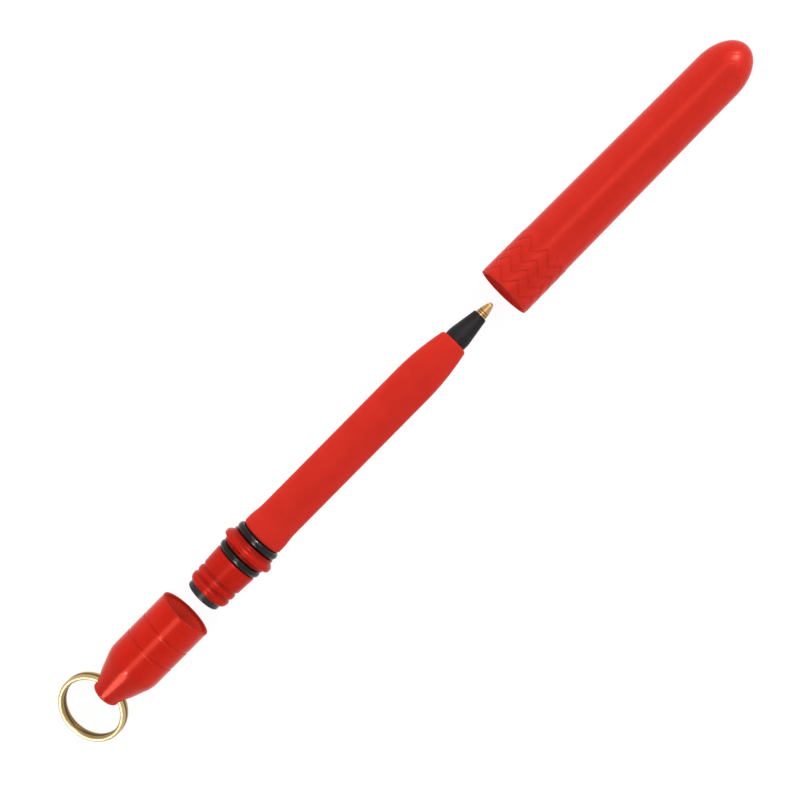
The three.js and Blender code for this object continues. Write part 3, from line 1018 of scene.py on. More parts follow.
@dataclass
class PenBody(SubAssembly):
    """The pen without its refill: core, grip sleeve, O-rings, nose cone and tail plug.

    Places count from the outer face of the tail plug.
    """

    seat_gap: float = 0.02
    bore_radius: float = 5.55
    o_ring_diameter: float = 11
    o_ring_thickness: float = 2
    plug_diameter: float = 8.3
    plug_head: float = 1.5
    plug_edge: float = 0.35
    plug_stem_diameter: float = 5.2
    plug_stem_length: float = 3
    tail_length: float = 9.1
    tail_radius: float = 5.03
    tail_shoulder_radius: float = 5.25
    tail_round_length: float = 1.15
    tail_round_drop: float = 0.65
    tail_groove_start: float = 1.45
    tail_groove_pitch: float = 1.94
    tail_groove_width: float = 1.15
    tail_groove_depth: float = 0.28
    tail_grooves: int = 2
    tail_groove_round: float = 0.24
    # Share of painted shade in the tail's rib valleys.
    rib_painted_shade: float = 0.7
    collar_width: float = 3.36
    collar_crest: float = 0.6
    collar_crest_shift: float = 0.3
    collar_radius: float = 6.42
    collar_lip_radius: float = 5.45
    collar_lip_width: float = 0.45
    sleeve_length: float = 59.2
    sleeve_radius: float = 4.75
    sleeve_wall: float = 0.66
    rim_radius: float = 5.08
    rim_inset: float = 0.47
    rim_width: float = 1.5
    rim_ease: float = 3.9
    nose_length: float = 13
    nose_drop: float = 1.45
    lip_length: float = 0.9
    front_length: float = 3
    cone_length: float = 7.9
    shank_length: float = 1.6
    shank_radius: float = 2.7
    stem_radius: float = 2.02
    stem_length: float = 6
    cone_front_radius: float = 1.68
    cone_front_round: float = 0.25
    barrel_bore_radius: float = 1.75
    tube_radius: float = 1.45
    tube_setback: float = 3
    tip_base_radius: float = 1.39
    bore_edge: float = 0.04
    rim_edge: float = 0.06
    mould_edge: float = 0.08
    soft_edge: float = 0.1
    lip_edge: float = 0.12
    shoulder_edge: float = 0.2
    shank_edge: float = 0.5
    o_ring_points: int = 48
    cone_turns: int = 128
    origin: Vector = field(init=False)

    def __post_init__(self) -> None:
        """Work out the places along the pen from its lengths."""
        self.origin = axis_end("tail_plug", front=False)
        self.groove_width = self.o_ring_thickness + 2 * self.seat_gap
        self.groove_floor = self.o_ring_diameter / 2 - self.o_ring_thickness - self.seat_gap
        self.tail_face = self.plug_head + self.seat_gap
        self.rear_groove = self.tail_face + self.tail_length
        self.collar_start = self.rear_groove + self.groove_width
        self.front_groove = self.collar_start + self.collar_width
        self.sleeve_start = self.front_groove + self.groove_width + self.seat_gap
        self.sleeve_end = self.sleeve_start + self.sleeve_length
        self.core_end = self.sleeve_end - self.front_length
        self.core_radius = self.sleeve_radius - self.sleeve_wall - self.seat_gap
        self.cone_front = self.sleeve_end + self.cone_length
        self.tube_end = self.cone_front - self.tube_setback

    def nose_radius(self, distance: Array) -> Array:
        """Give the sleeve's radius, less a drop by the square of the way into the nose."""
        share = 1 - np.minimum(distance / self.nose_length, 1)
        return self.sleeve_radius - self.nose_drop * share**2

    def trace_nose(self, outline: Outline, start: float, end: float, depth: float) -> Outline:
        """Follow the nose between two distances behind its end, at a depth under its skin."""
        distance = np.linspace(start, end, 33)[1:]
        return outline.trace(self.sleeve_end - distance, self.nose_radius(distance) - depth)

    def make_core(self) -> Skin:
        """Make the glossy core: ribbed tail, O-ring grooves, collar and inner tube.

        Returns:
            The skin of one outline turned round the axis.
        """
        stem_bore = self.plug_stem_diameter / 2 + self.seat_gap
        stem_end = self.tail_face + self.plug_stem_length + self.seat_gap
        outline = Outline(self.tail_face, stem_bore, self.mould_edge)
        outline.to(self.tail_face, self.tail_radius - self.tail_round_drop, self.soft_edge)
        outline.turn_along(self.tail_face + self.tail_round_length, self.tail_radius)
        first = self.tail_face + self.tail_groove_start + self.tail_groove_width / 2
        for index in range(self.tail_grooves):
            middle = first + index * self.tail_groove_pitch
            outline.groove(
                middle, self.tail_groove_width, self.tail_groove_depth, self.tail_groove_round
            )
        inset = self.bore_radius - self.tail_shoulder_radius
        outline.to(self.rear_groove - inset, self.tail_shoulder_radius, self.shoulder_edge)
        outline.to(self.rear_groove, self.tail_shoulder_radius - inset, self.mould_edge)
        outline.follow(
            FINE_EDGE,
            (self.rear_groove, self.groove_floor),
            (self.collar_start, self.groove_floor),
        )
        self.add_collar(outline)
        groove_end = self.front_groove + self.groove_width
        outline.follow(
            FINE_EDGE,
            (self.front_groove, self.groove_floor),
            (groove_end, self.groove_floor),
            (groove_end, self.core_radius),
        )
        outline.to(self.sleeve_end - self.nose_length, self.core_radius)
        wall = self.sleeve_wall + self.seat_gap
        self.trace_nose(outline, self.nose_length, self.front_length, wall)
        stem_radius = self.stem_radius + self.seat_gap
        bottom = self.core_end - self.stem_length - self.seat_gap
        outline.follow(
            FINE_EDGE,
            (self.core_end, stem_radius),
            (bottom, stem_radius),
            (bottom, self.barrel_bore_radius),
            (stem_end, self.barrel_bore_radius),
            (stem_end, stem_bore),
        )
        points = outline.points(closed=True)
        # Painted shade beside the collar and in the ribs.
        shares = {"painted_shade": self.core_painted_shade(points)}
        return revolve(points, self.origin, closed=True, shares=shares)

    def core_painted_shade(self, points: Array) -> Array:
        """Give how much painted shade each point of the core gets beside the collar and in the
        ribs.

        Args:
            points: The core's outline, a row for each place and radius.

        Returns:
            Shares from 0 on a crest to 1 on the collar's lips, and less in the ribs.
        """
        places, radii = points[:, :1], points[:, 1:]
        on_collar = (places > self.collar_start) & (places < self.front_groove)
        collar_depth = self.collar_radius - self.collar_lip_radius
        beside = np.clip((self.collar_radius - radii) / collar_depth, 0, 1)
        first = self.tail_face + self.tail_groove_start
        last = first + self.tail_groove_pitch * (self.tail_grooves - 1) + self.tail_groove_width
        in_ribs = (places > first) & (places < last)
        ribs = np.clip((self.tail_radius - radii) / self.tail_groove_depth, 0, 1)
        return np.maximum(beside * on_collar, ribs * in_ribs * self.rib_painted_shade)

    def add_collar(self, outline: Outline) -> None:
        """Add the collar between the O-rings: a lip, two concave flanks and a crest.

        Args:
            outline: The outline to add to.
        """
        middle = self.collar_start + self.collar_width / 2 - self.collar_crest_shift
        outline.to(self.collar_start, self.collar_lip_radius, self.lip_edge)
        outline.to(self.collar_start + self.collar_lip_width, self.collar_lip_radius)
        outline.ease(middle - self.collar_crest / 2, self.collar_radius)
        outline.to(middle + self.collar_crest / 2, self.collar_radius)
        outline.ease(self.front_groove - self.collar_lip_width, self.collar_lip_radius)
        outline.to(self.front_groove, self.collar_lip_radius, self.lip_edge)

    def make_sleeve(self) -> Skin:
        """Make the matt grip sleeve: rear rim, long straight grip and drawn-in nose.

        Returns:
            The skin of one outline turned round the axis.
        """
        shank_bore = self.shank_radius + self.seat_gap
        start = self.sleeve_start
        outline = Outline(start, self.core_radius + self.seat_gap, FINE_EDGE)
        outline.to(start, self.rim_radius - self.rim_inset, self.rim_edge)
        outline.turn_along(start + self.rim_width / 2, self.rim_radius)
        outline.to(start + self.rim_width, self.rim_radius)
        outline.ease(start + self.rim_width + self.rim_ease, self.sleeve_radius)
        outline.to(self.sleeve_end - self.nose_length, self.sleeve_radius)
        self.trace_nose(outline, self.nose_length, self.lip_length, 0)
        outline.turn_across(self.sleeve_end, shank_bore + self.lip_edge)
        outline.to(self.sleeve_end, shank_bore, self.rim_edge)
        bottom = self.core_end + self.seat_gap
        inner = float(self.nose_radius(np.array(self.front_length))) - self.sleeve_wall
        outline.follow(FINE_EDGE, (bottom, shank_bore), (bottom, inner))
        self.trace_nose(outline, self.front_length, self.nose_length, self.sleeve_wall)
        return revolve(outline.points(closed=True), self.origin, closed=True)

    def make_o_ring(self, groove_start: float) -> Skin:
        """Make an O-ring: a circle turned round the axis.

        Args:
            groove_start: Place where its groove starts.

        Returns:
            The skin.
        """
        rubber = self.o_ring_thickness / 2
        centre = (self.o_ring_diameter - self.o_ring_thickness) / 2
        angles = np.arange(self.o_ring_points) * 2 * math.pi / self.o_ring_points
        places = groove_start + self.groove_width / 2 - rubber * np.sin(angles)
        radii = centre - rubber * np.cos(angles)
        return revolve(np.column_stack([places, radii]), self.origin, closed=True)

    def make_plug(self) -> Skin:
        """Make the black tail plug: a head with a rounded edge on a stem.

        Returns:
            The skin, closed by a point on the axis at each end.
        """
        head = self.plug_diameter / 2
        stem = self.plug_stem_diameter / 2
        end = self.tail_face + self.plug_stem_length
        outline = Outline(0, 0).to(0, head - self.plug_edge)
        outline.turn_along(self.plug_edge, head)
        outline.follow(FINE_EDGE, (self.plug_head, head), (self.plug_head, stem))
        outline.to(end, stem, self.shoulder_edge).to(end, 0)
        return revolve(outline.points(), self.origin)

    def make_cone(self) -> Skin:
        """Make the black nose cone: a straight shank, a taper and a stem.

        Returns:
            The skin of one outline turned round the axis.
        """
        tube_bore = self.tube_radius + self.seat_gap
        tip_bore = self.tip_base_radius + self.seat_gap
        stem_start = self.core_end - self.stem_length
        shoulder = self.core_end + self.seat_gap
        bottom = self.tube_end + self.seat_gap
        outline = Outline(stem_start, tube_bore, FINE_EDGE)
        outline.to(stem_start, self.stem_radius, self.soft_edge)
        outline.to(shoulder, self.stem_radius, FINE_EDGE)
        outline.to(shoulder, self.shank_radius, self.mould_edge)
        outline.to(self.sleeve_end + self.shank_length, self.shank_radius, self.shank_edge)
        outline.to(self.cone_front, self.cone_front_radius, self.cone_front_round)
        bore = ((self.cone_front, tip_bore), (bottom, tip_bore), (bottom, tube_bore))
        outline.follow(self.bore_edge, *bore)
        return revolve(outline.points(closed=True), self.origin, True, self.cone_turns)

    def build(self) -> list[bpy.types.Object]:
        """Make and dress the core, the sleeve, both O-rings, the plug and the cone.

        Returns:
            The six pieces.
        """
        rear = self.make_o_ring(self.rear_groove)
        front = self.make_o_ring(self.front_groove)
        return [
            set_piece("core", self.make_core(), Body.PEN, "barrel", CORE_RED),
            set_piece("grip", self.make_sleeve(), Body.PEN, "grip_sleeve", MATT_RED),
            set_piece("rear_seal", rear, Body.PEN, "rear_o_ring", BLACK_RUBBER),
            set_piece("front_seal", front, Body.PEN, "front_o_ring", BLACK_RUBBER),
            set_piece("plug", self.make_plug(), Body.PEN, "tail_plug", SHINY_BLACK),
            set_piece("cone", self.make_cone(), Body.PEN, "nose_cone", BLACK_PLASTIC),
        ]


@dataclass
class Refill(SubAssembly):
    """Brass point, ball, ink tube and ink."""

    pen: PenBody
    tube_wall: float = 0.4
    tube_gap: float = 0.3
    ink_setback: float = 4
    ink_dip: float = 0.35
    tip_length: float = 3.75
    rings: int = 2
    ring_length: float = 0.35
    ring_drop: float = 0.05
    groove_width: float = 0.22
    groove_depth: float = 0.14
    nose_radius: float = 0.77
    nose_length: float = 0.8
    stem_length: float = 4.5
    channel_radius: float = 0.25
    lip_wall: float = 0.07
    ball_radius: float = 0.5
    ball_gap: float = 0.04
    ball_showing: float = 0.25
    inner_edge: float = 0.03
    channel_edge: float = 0.04
    turned_edge: float = 0.06
    stem_edge: float = 0.08
    point_turns: int = 96
    slim_turns: int = 64

    def __post_init__(self) -> None:
        """Work out where the ball lies."""
        self.length = self.pen.cone_front + self.tip_length
        self.ball_centre = self.length - self.ball_radius

    def make_point(self) -> Skin:
        """Make the brass point: stem, turned rings, blunt cone and the ball's socket.

        Returns:
            The skin. The socket is an arc of a sphere a little wider than the ball.
        """
        pen = self.pen
        gap = pen.seat_gap
        stem = pen.tube_radius - self.tube_wall - gap
        base = pen.tip_base_radius
        socket = self.ball_radius + self.ball_gap
        lip_distance = self.ball_radius - self.ball_showing
        lip_angle = math.acos(lip_distance / socket)
        channel_angle = math.pi - math.asin(self.channel_radius / socket)
        lip_place = self.ball_centre + lip_distance
        lip_radius = socket * math.sin(lip_angle)
        stem_start = pen.tube_end - self.stem_length
        outline = Outline(stem_start, self.channel_radius, self.channel_edge)
        outline.to(stem_start, stem, self.stem_edge)
        outline.to(pen.tube_end + gap, stem, self.inner_edge)
        outline.to(pen.tube_end + gap, base, self.turned_edge)
        for index in range(self.rings):
            radius = base - index * self.ring_drop
            end = pen.cone_front + self.ring_length
            end += index * (self.ring_length + self.groove_width)
            floor = radius - self.groove_depth
            outline.to(end, radius, self.turned_edge)
            outline.follow(self.inner_edge, (end, floor), (end + self.groove_width, floor))
            outline.to(end + self.groove_width, radius - self.ring_drop, FINE_EDGE)
        outline.to(self.length - self.nose_length, self.nose_radius)
        outline.turn_across(lip_place, lip_radius + self.lip_wall, 8)
        outline.to(lip_place, lip_radius)
        angles = np.linspace(lip_angle, channel_angle, 25)[1:]
        outline.trace(self.ball_centre + socket * np.cos(angles), socket * np.sin(angles))
        points = outline.points(closed=True)
        pitch = self.ring_length + self.groove_width
        first = pen.cone_front + self.ring_length
        way = (points[:, :1] - first) % pitch
        last = first + (self.rings - 1) * pitch
        in_rings = (points[:, :1] > first - 0.02) & (points[:, :1] < last + self.groove_width)
        outside = points[:, 1:] > self.nose_radius
        # Painted shade in the floors of the turned grooves.
        painted_shade = (in_rings & outside & (way < self.groove_width)) * 1.0
        # The blunt nose is paled: wear by paper, and painted light.
        blunt = (points[:, :1] > self.length - self.nose_length) * 1.0
        shares = {"painted_shade": painted_shade, "blunt": blunt}
        return revolve(points, pen.origin, True, self.point_turns, SLIM, shares=shares)

    def make_ball(self) -> Skin:
        """Make the ball: half a circle turned round the axis.

        Returns:
            The skin, a little smaller than its socket.
        """
        angles = np.linspace(math.pi, 0, 33)
        radii = self.ball_radius * np.sin(angles)
        radii[[0, -1]] = 0
        places = self.ball_centre + self.ball_radius * np.cos(angles)
        points = np.column_stack([places, radii])
        return revolve(points, self.pen.origin, False, self.slim_turns, SLIM)

    def make_tube(self) -> Skin:
        """Make the open ink tube, from behind the point to near the tail plug.

        Returns:
            The skin of one outline turned round the axis.
        """
        bore = self.pen.tube_radius - self.tube_wall
        start, end = self.tube_start(), self.pen.tube_end
        outer = self.pen.tube_radius
        outline = Outline(start, bore, self.turned_edge)
        outline.follow(self.turned_edge, (start, outer), (end, outer), (end, bore))
        points = outline.points(closed=True)
        return revolve(points, self.pen.origin, True, self.slim_turns, SLIM)

    def make_ink(self) -> Skin:
        """Make the column of ink, hollowed at its free end as a liquid in a tube is.

        Returns:
            The skin, closed by a point on the axis at each end.
        """
        radius = self.pen.tube_radius - self.tube_wall - self.pen.seat_gap
        start = self.tube_start() + self.ink_setback
        end = self.pen.tube_end - self.stem_length - self.pen.seat_gap
        shares = np.linspace(0, 1, 9)
        outline = Outline(start + self.ink_dip, 0)
        outline.trace(start + self.ink_dip * (1 - shares[1:] ** 2), radius * shares[1:])
        outline.to(end, radius, FINE_EDGE).to(end, 0)
        return revolve(outline.points(), self.pen.origin, False, self.slim_turns, SLIM)

    def tube_start(self) -> float:
        """Give the place of the ink tube's rear end."""
        pen = self.pen
        return pen.tail_face + pen.plug_stem_length + self.tube_gap

    def build(self) -> list[bpy.types.Object]:
        """Make and dress the point, the ball, the tube and the ink.

        Returns:
            The four pieces.
        """
        return [
            set_piece("point", self.make_point(), Body.PEN, "point_tip", BRASS),
            set_piece("ball", self.make_ball(), Body.BALL, "writing_ball", BALL_METAL),
            set_piece("tube", self.make_tube(), Body.PEN, "ink_tube", CLEAR_PLASTIC),
            set_piece("ink_column", self.make_ink(), Body.PEN, "ink", INK),
        ]


@dataclass
class Herringbone:
    """Raised zigzag planks, pressed into the skin of the cap at both of its ends."""

    height: float = 0.1
    pitch: float = 2.95
    columns: int = 16
    column_width: float = 2.51
    first_peak: float = math.radians(4.7)
    groove_share: float = 0.2

    def lift(self, places: Array, turns: int) -> Array:
        """Give the height of the planks at each place and angle.

        A zigzag runs round the cap: it climbs by a column's width along the axis in one
        column and comes down in the next. A plank is one pitch wide, with a rounded
        groove between it and the next.

        Args:
            places: Distances from the mouth.
            turns: Number of angles round the cap.

        Returns:
            Heights, a row for each place and a column for each angle.
        """
        angles = np.arange(turns) * 2 * math.pi / turns - math.pi / 2 - self.first_peak
        wave = np.arccos(np.cos(angles * self.columns / 2)) / math.pi
        phase = (places[:, None] + self.column_width * wave) / self.pitch
        edge = np.abs(phase - np.round(phase))
        return self.height * smooth_step(edge, 0, self.groove_share)


@dataclass
class Cap(SubAssembly):
    """The long cap, with its mouth at place 0 and its dome towards +X."""

    bore_radius: float = 5.55
    wall: float = 0.85
    end_wall: float = 0.7
    dome_length: float = 9
    dome_bore: float = 5.05
    throat_length: float = 13
    throat_drop: float = 0.11
    mouth_round: float = 0.05
    lead_in: float = 0.15
    straight_bore: float = 5
    band_rise: tuple[float, float] = (0.25, 0.7)
    band_fade: float = 12.2
    band_end: float = 12.6
    band_tail: float = 0.6
    relief_start: float = 57.5
    relief_full: float = 66
    relief: Herringbone = field(default_factory=Herringbone)
    dome_relief: float = 0.25
    dome_fade: tuple[float, float] = (2.2, 0.4)
    # Share of painted shade on the mouth's rim.
    rim_painted_shade: float = 0.5
    turns: int = 288
    fine_step: float = 0.18
    first_step: float = 0.1
    coarse_step: float = 2
    band_margin: float = 1.5
    bore_edge: float = 1
    lead_edge: float = 0.2
    edge_reach: float = 0.1

    def __post_init__(self) -> None:
        """Take the mouth's place from the frame."""
        self.origin = axis_end("cap", front=False)
        self.length = length_of("cap")
        self.body_radius = self.bore_radius + self.wall
        self.dome_start = self.length - self.dome_length
        self.dome_radius = self.dome_bore + self.wall

    def outer_points(self) -> Array:
        """Work out the outside from the mouth to the tip of the dome.

        Returns:
            Places and radii: two tapers, then a quarter ellipse. The steps are fine
            under the herringbone and coarse between its two ends.
        """
        band_stop = self.band_end + self.band_margin
        plain_start = self.band_end + self.coarse_step
        places = np.concatenate([
            self.mouth_round * (1 - np.cos(np.linspace(0, math.pi / 2, 7))),
            np.arange(self.mouth_round + self.first_step, band_stop, self.fine_step),
            np.arange(plain_start, self.relief_start, self.coarse_step),
            np.arange(self.relief_start, self.dome_start, self.fine_step),
        ])
        stations = [0, self.throat_length, self.dome_start]
        radii = np.interp(places, stations, [
            self.body_radius,
            self.body_radius - self.throat_drop,
            self.dome_radius,
        ])
        edge = np.clip(1 - places / self.mouth_round, 0, 1)
        radii -= self.mouth_round * (1 - np.sqrt(1 - edge**2))
        angles = np.linspace(0, math.pi / 2, 65)
        dome = np.column_stack([
            self.dome_start + self.dome_length * np.sin(angles),
            self.dome_radius * np.cos(angles),
        ])
        dome[-1, 1] = 0
        return np.vstack([np.column_stack([places, radii]), dome])

    def inner_points(self) -> Array:
        """Work out the bore from the inside of the dome back to the mouth.

        Returns:
            Places and radii: the dome's inside, the tapered bore, then the straight
            bore that the O-ring slides in.
        """
        inner_end = self.length - self.end_wall
        outline = Outline(inner_end, 0)
        outline.turn_along(self.dome_start, self.dome_bore, 32)
        outline.to(self.throat_length, self.bore_radius - self.throat_drop, self.bore_edge)
        outline.to(self.straight_bore, self.bore_radius, self.bore_edge)
        outline.to(self.lead_in, self.bore_radius, self.lead_edge)
        outline.to(0, self.bore_radius + self.lead_in)
        return outline.points()

    def make_shell(self) -> Skin:
        """Make the shell, with the herringbone standing out at its mouth and dome.

        Returns:
            The skin, open at the mouth, with its wall's two sides joined at the rim.
        """
        outer = self.outer_points()
        points = np.vstack([outer, self.inner_points()])
        places = outer[:, 0]
        band_stop = self.band_end + self.band_tail
        band = smooth_step(places, *self.band_rise)
        band = band * (1 - smooth_step(places, self.band_fade, band_stop))
        dome = smooth_step(places, self.relief_start, self.relief_full)
        fade_start, fade_end = (self.length - distance for distance in self.dome_fade)
        dome *= 1 - smooth_step(places, fade_start, fade_end)
        lift = self.relief.lift(places, self.turns)
        pressed = (band + dome * self.dome_relief)[:, None]
        relief = np.zeros((len(points), self.turns))
        relief[: len(outer)] = pressed * lift
        # Painted shade in the herringbone's grooves, and on the mouth's rim.
        painted_shade = np.zeros_like(relief)
        painted_shade[: len(outer)] = pressed**2 * (1 - lift / self.relief.height)
        # The bore is marked for painted light in the finish.
        in_bore = (np.arange(len(points)) >= len(outer))[:, None]
        reach = np.where(in_bore, self.lead_in + self.edge_reach, self.mouth_round)
        edge = points[:, :1] <= reach
        painted_shade[edge[:, 0]] = self.rim_painted_shade
        shares = {"painted_shade": painted_shade, "inside": (in_bore & ~edge) * 1.0, "edge": edge * 1.0}
        return revolve(points, self.origin, True, self.turns, THICK, relief, shares)

    def build(self) -> list[bpy.types.Object]:
        """Make and dress the cap."""
        return [set_piece("long_cap", self.make_shell(), Body.CAP, "cap", SATIN_RED)]


@dataclass
class EndCap(SubAssembly):
    """The end cap. Its mouth is at place 0, and its blunt, cross-drilled nose is behind."""

    bore_radius: float = 5.55
    radius: float = 6.35
    bore_depth: float = 13.69
    nose_radius: float = 3.4
    nose_round: float = 1.1
    cone_angle: float = math.radians(20.9)
    shoulder: float = 1.3
    mouth_round: float = 0.05
    lead_in: float = 0.15
    groove_start: float = 5.7
    groove_pitch: float = 4.85
    groove_width: float = 0.65
    groove_depth: float = 0.2
    groove_round: float = 0.15
    # Shares of painted shade in the grooves and on the mouth's rim.
    groove_painted_shade: float = 0.3
    rim_painted_shade: float = 0.4
    grooves: int = 2
    hole_wall: float = 0.5
    hole_round: float = 0.6
    rim_edge: float = 0.08
    lead_edge: float = 0.2
    bore_edge: float = 0.3
    edge_reach: float = 0.1
    longest_stretch: float = 0.7
    cutter_reach: float = 1.5
    cutter_spread: float = 0.4
    cutter_turns: int = 96

    def __post_init__(self) -> None:
        """Take the mouth's place, the length and the hole's place from the frame."""
        self.origin = axis_end("end_cap", front=True)
        self.length = length_of("end_cap")
        self.hole = hinge_point("ring_swing")
        self.hole_distance = (self.hole.x - axis_end("end_cap", front=False).x) / MM
        self.hole_radius = self.hole_distance - self.hole_wall
        self.slope = math.tan(self.cone_angle)

    def cone_radius(self, distance: float) -> float:
        """Give the cone's radius at a distance from the blunt end."""
        return self.nose_radius + (distance - self.nose_round) * self.slope

    def make_body(self) -> Skin:
        """Make the end cap before its cross hole is cut.

        Returns:
            The skin: blunt nose, cone, rounded shoulder, two grooves, mouth and bore.
        """
        cone_end = self.nose_round + (self.radius - self.nose_radius) / self.slope
        outline = Outline(-self.length, 0).to(-self.length, self.nose_radius - self.nose_round)
        outline.turn_along(self.nose_round - self.length, self.nose_radius)
        outline.to(cone_end - self.length, self.radius, self.shoulder)
        for index in reversed(range(self.grooves)):
            middle = -self.groove_start - index * self.groove_pitch
            outline.groove(middle, self.groove_width, self.groove_depth, self.groove_round)
        outline.to(0, self.radius, self.mouth_round)
        outline.to(0, self.bore_radius + self.lead_in, self.rim_edge)
        outline.to(-self.lead_in, self.bore_radius, self.lead_edge)
        outline.to(-self.bore_depth, self.bore_radius, self.bore_edge).to(-self.bore_depth, 0)
        points = outline.points(longest=self.longest_stretch)
        in_bore = points[:, :1] > -self.bore_depth - 0.01
        narrow = points[:, 1:] < self.bore_radius + self.lead_in + 0.02
        places = points[:, :1] + self.groove_start
        far = np.minimum(np.abs(places), np.abs(places + self.groove_pitch))
        reach = np.where(narrow, self.lead_in + self.edge_reach, self.mouth_round)
        edge = points[:, :1] >= -reach
        # Painted shade in the grooves and on the rim; the bore is marked for painted light.
        depth = 1 - smooth_step(far, 0.05, self.groove_width / 2)
        grooves = self.groove_painted_shade * depth * ~narrow
        shares = {
            "inside": (in_bore & narrow & ~edge) * 1.0,
            "painted_shade": np.maximum(grooves, self.rim_painted_shade * edge),
            "edge": edge * 1.0,
        }
        return revolve(points, self.origin, shares=shares)

    def make_cutter(self) -> Skin:
        """Make the cutter of the cross hole: round along Y, with flared mouths.

        Returns:
            The skin. The radius grows as a quarter circle where the hole leaves the
            cone, and straight on outside it.
        """
        surface = self.cone_radius(self.hole_distance) * THICK
        angles = np.linspace(0, math.pi / 2, 13)
        flare = np.column_stack([
            surface - self.hole_round * (1 - np.sin(angles)),
            self.hole_radius + self.hole_round * (1 - np.cos(angles)),
        ])
        outside = surface + self.cutter_reach
        half = np.vstack([flare, [outside, flare[-1, 1] + self.cutter_spread], [outside, 0]])
        across = np.vstack([half[::-1] * (-1, 1), half])
        along_x = revolve(across, Vector((0, 0, 0)), turns=self.cutter_turns, fit=1)
        turned = along_x.points[:, [1, 0, 2]] * (-1, 1, 1)
        plain = {label: np.zeros(len(turned)) for label in ("inside", "painted_shade", "edge")}
        placed = turned + np.array(self.hole)
        return Skin(placed, along_x.quads, along_x.triangles, shares=plain)

    def build(self) -> list[bpy.types.Object]:
        """Make and dress the end cap, and cut its cross hole.

        Returns:
            The one piece.
        """
        piece = set_piece("tail_cap", self.make_body(), Body.END_CAP, "end_cap", GLOSS_RED)
        cut_away(piece, self.make_cutter())
        return [piece]


def hinge_point(name: str) -> Vector:
    """Give the point of a joint of the frame, in metres."""
    joint = next(joint for joint in frame["joints"] if joint["name"] == name)
    return Vector(joint["pos_m"])


def cut_away(piece: bpy.types.Object, cutter: Skin) -> None:
    """Cut a solid out of a piece, and keep the result as the piece's own mesh.

    Args:
        piece: The piece to cut.
        cutter: The solid that is taken away.
    """
    tool = add_object("cutter", cutter.to_mesh("cutter"))
    cut = piece.modifiers.new("cross_hole", "BOOLEAN")
    cut.operation = "DIFFERENCE"
    cut.solver = "EXACT"
    cut.object = tool
    bpy.context.view_layer.update()
    shown = piece.evaluated_get(bpy.context.evaluated_depsgraph_get())
    mesh = bpy.data.meshes.new_from_object(shown)
    piece.modifiers.clear()
    piece.data = mesh
    bpy.data.objects.remove(tool)
    mesh.polygons.foreach_set("use_smooth", np.ones(len(mesh.polygons), bool))
    mesh.set_sharp_from_angle(angle=SHARP_ANGLE)
    mesh.name = piece.name


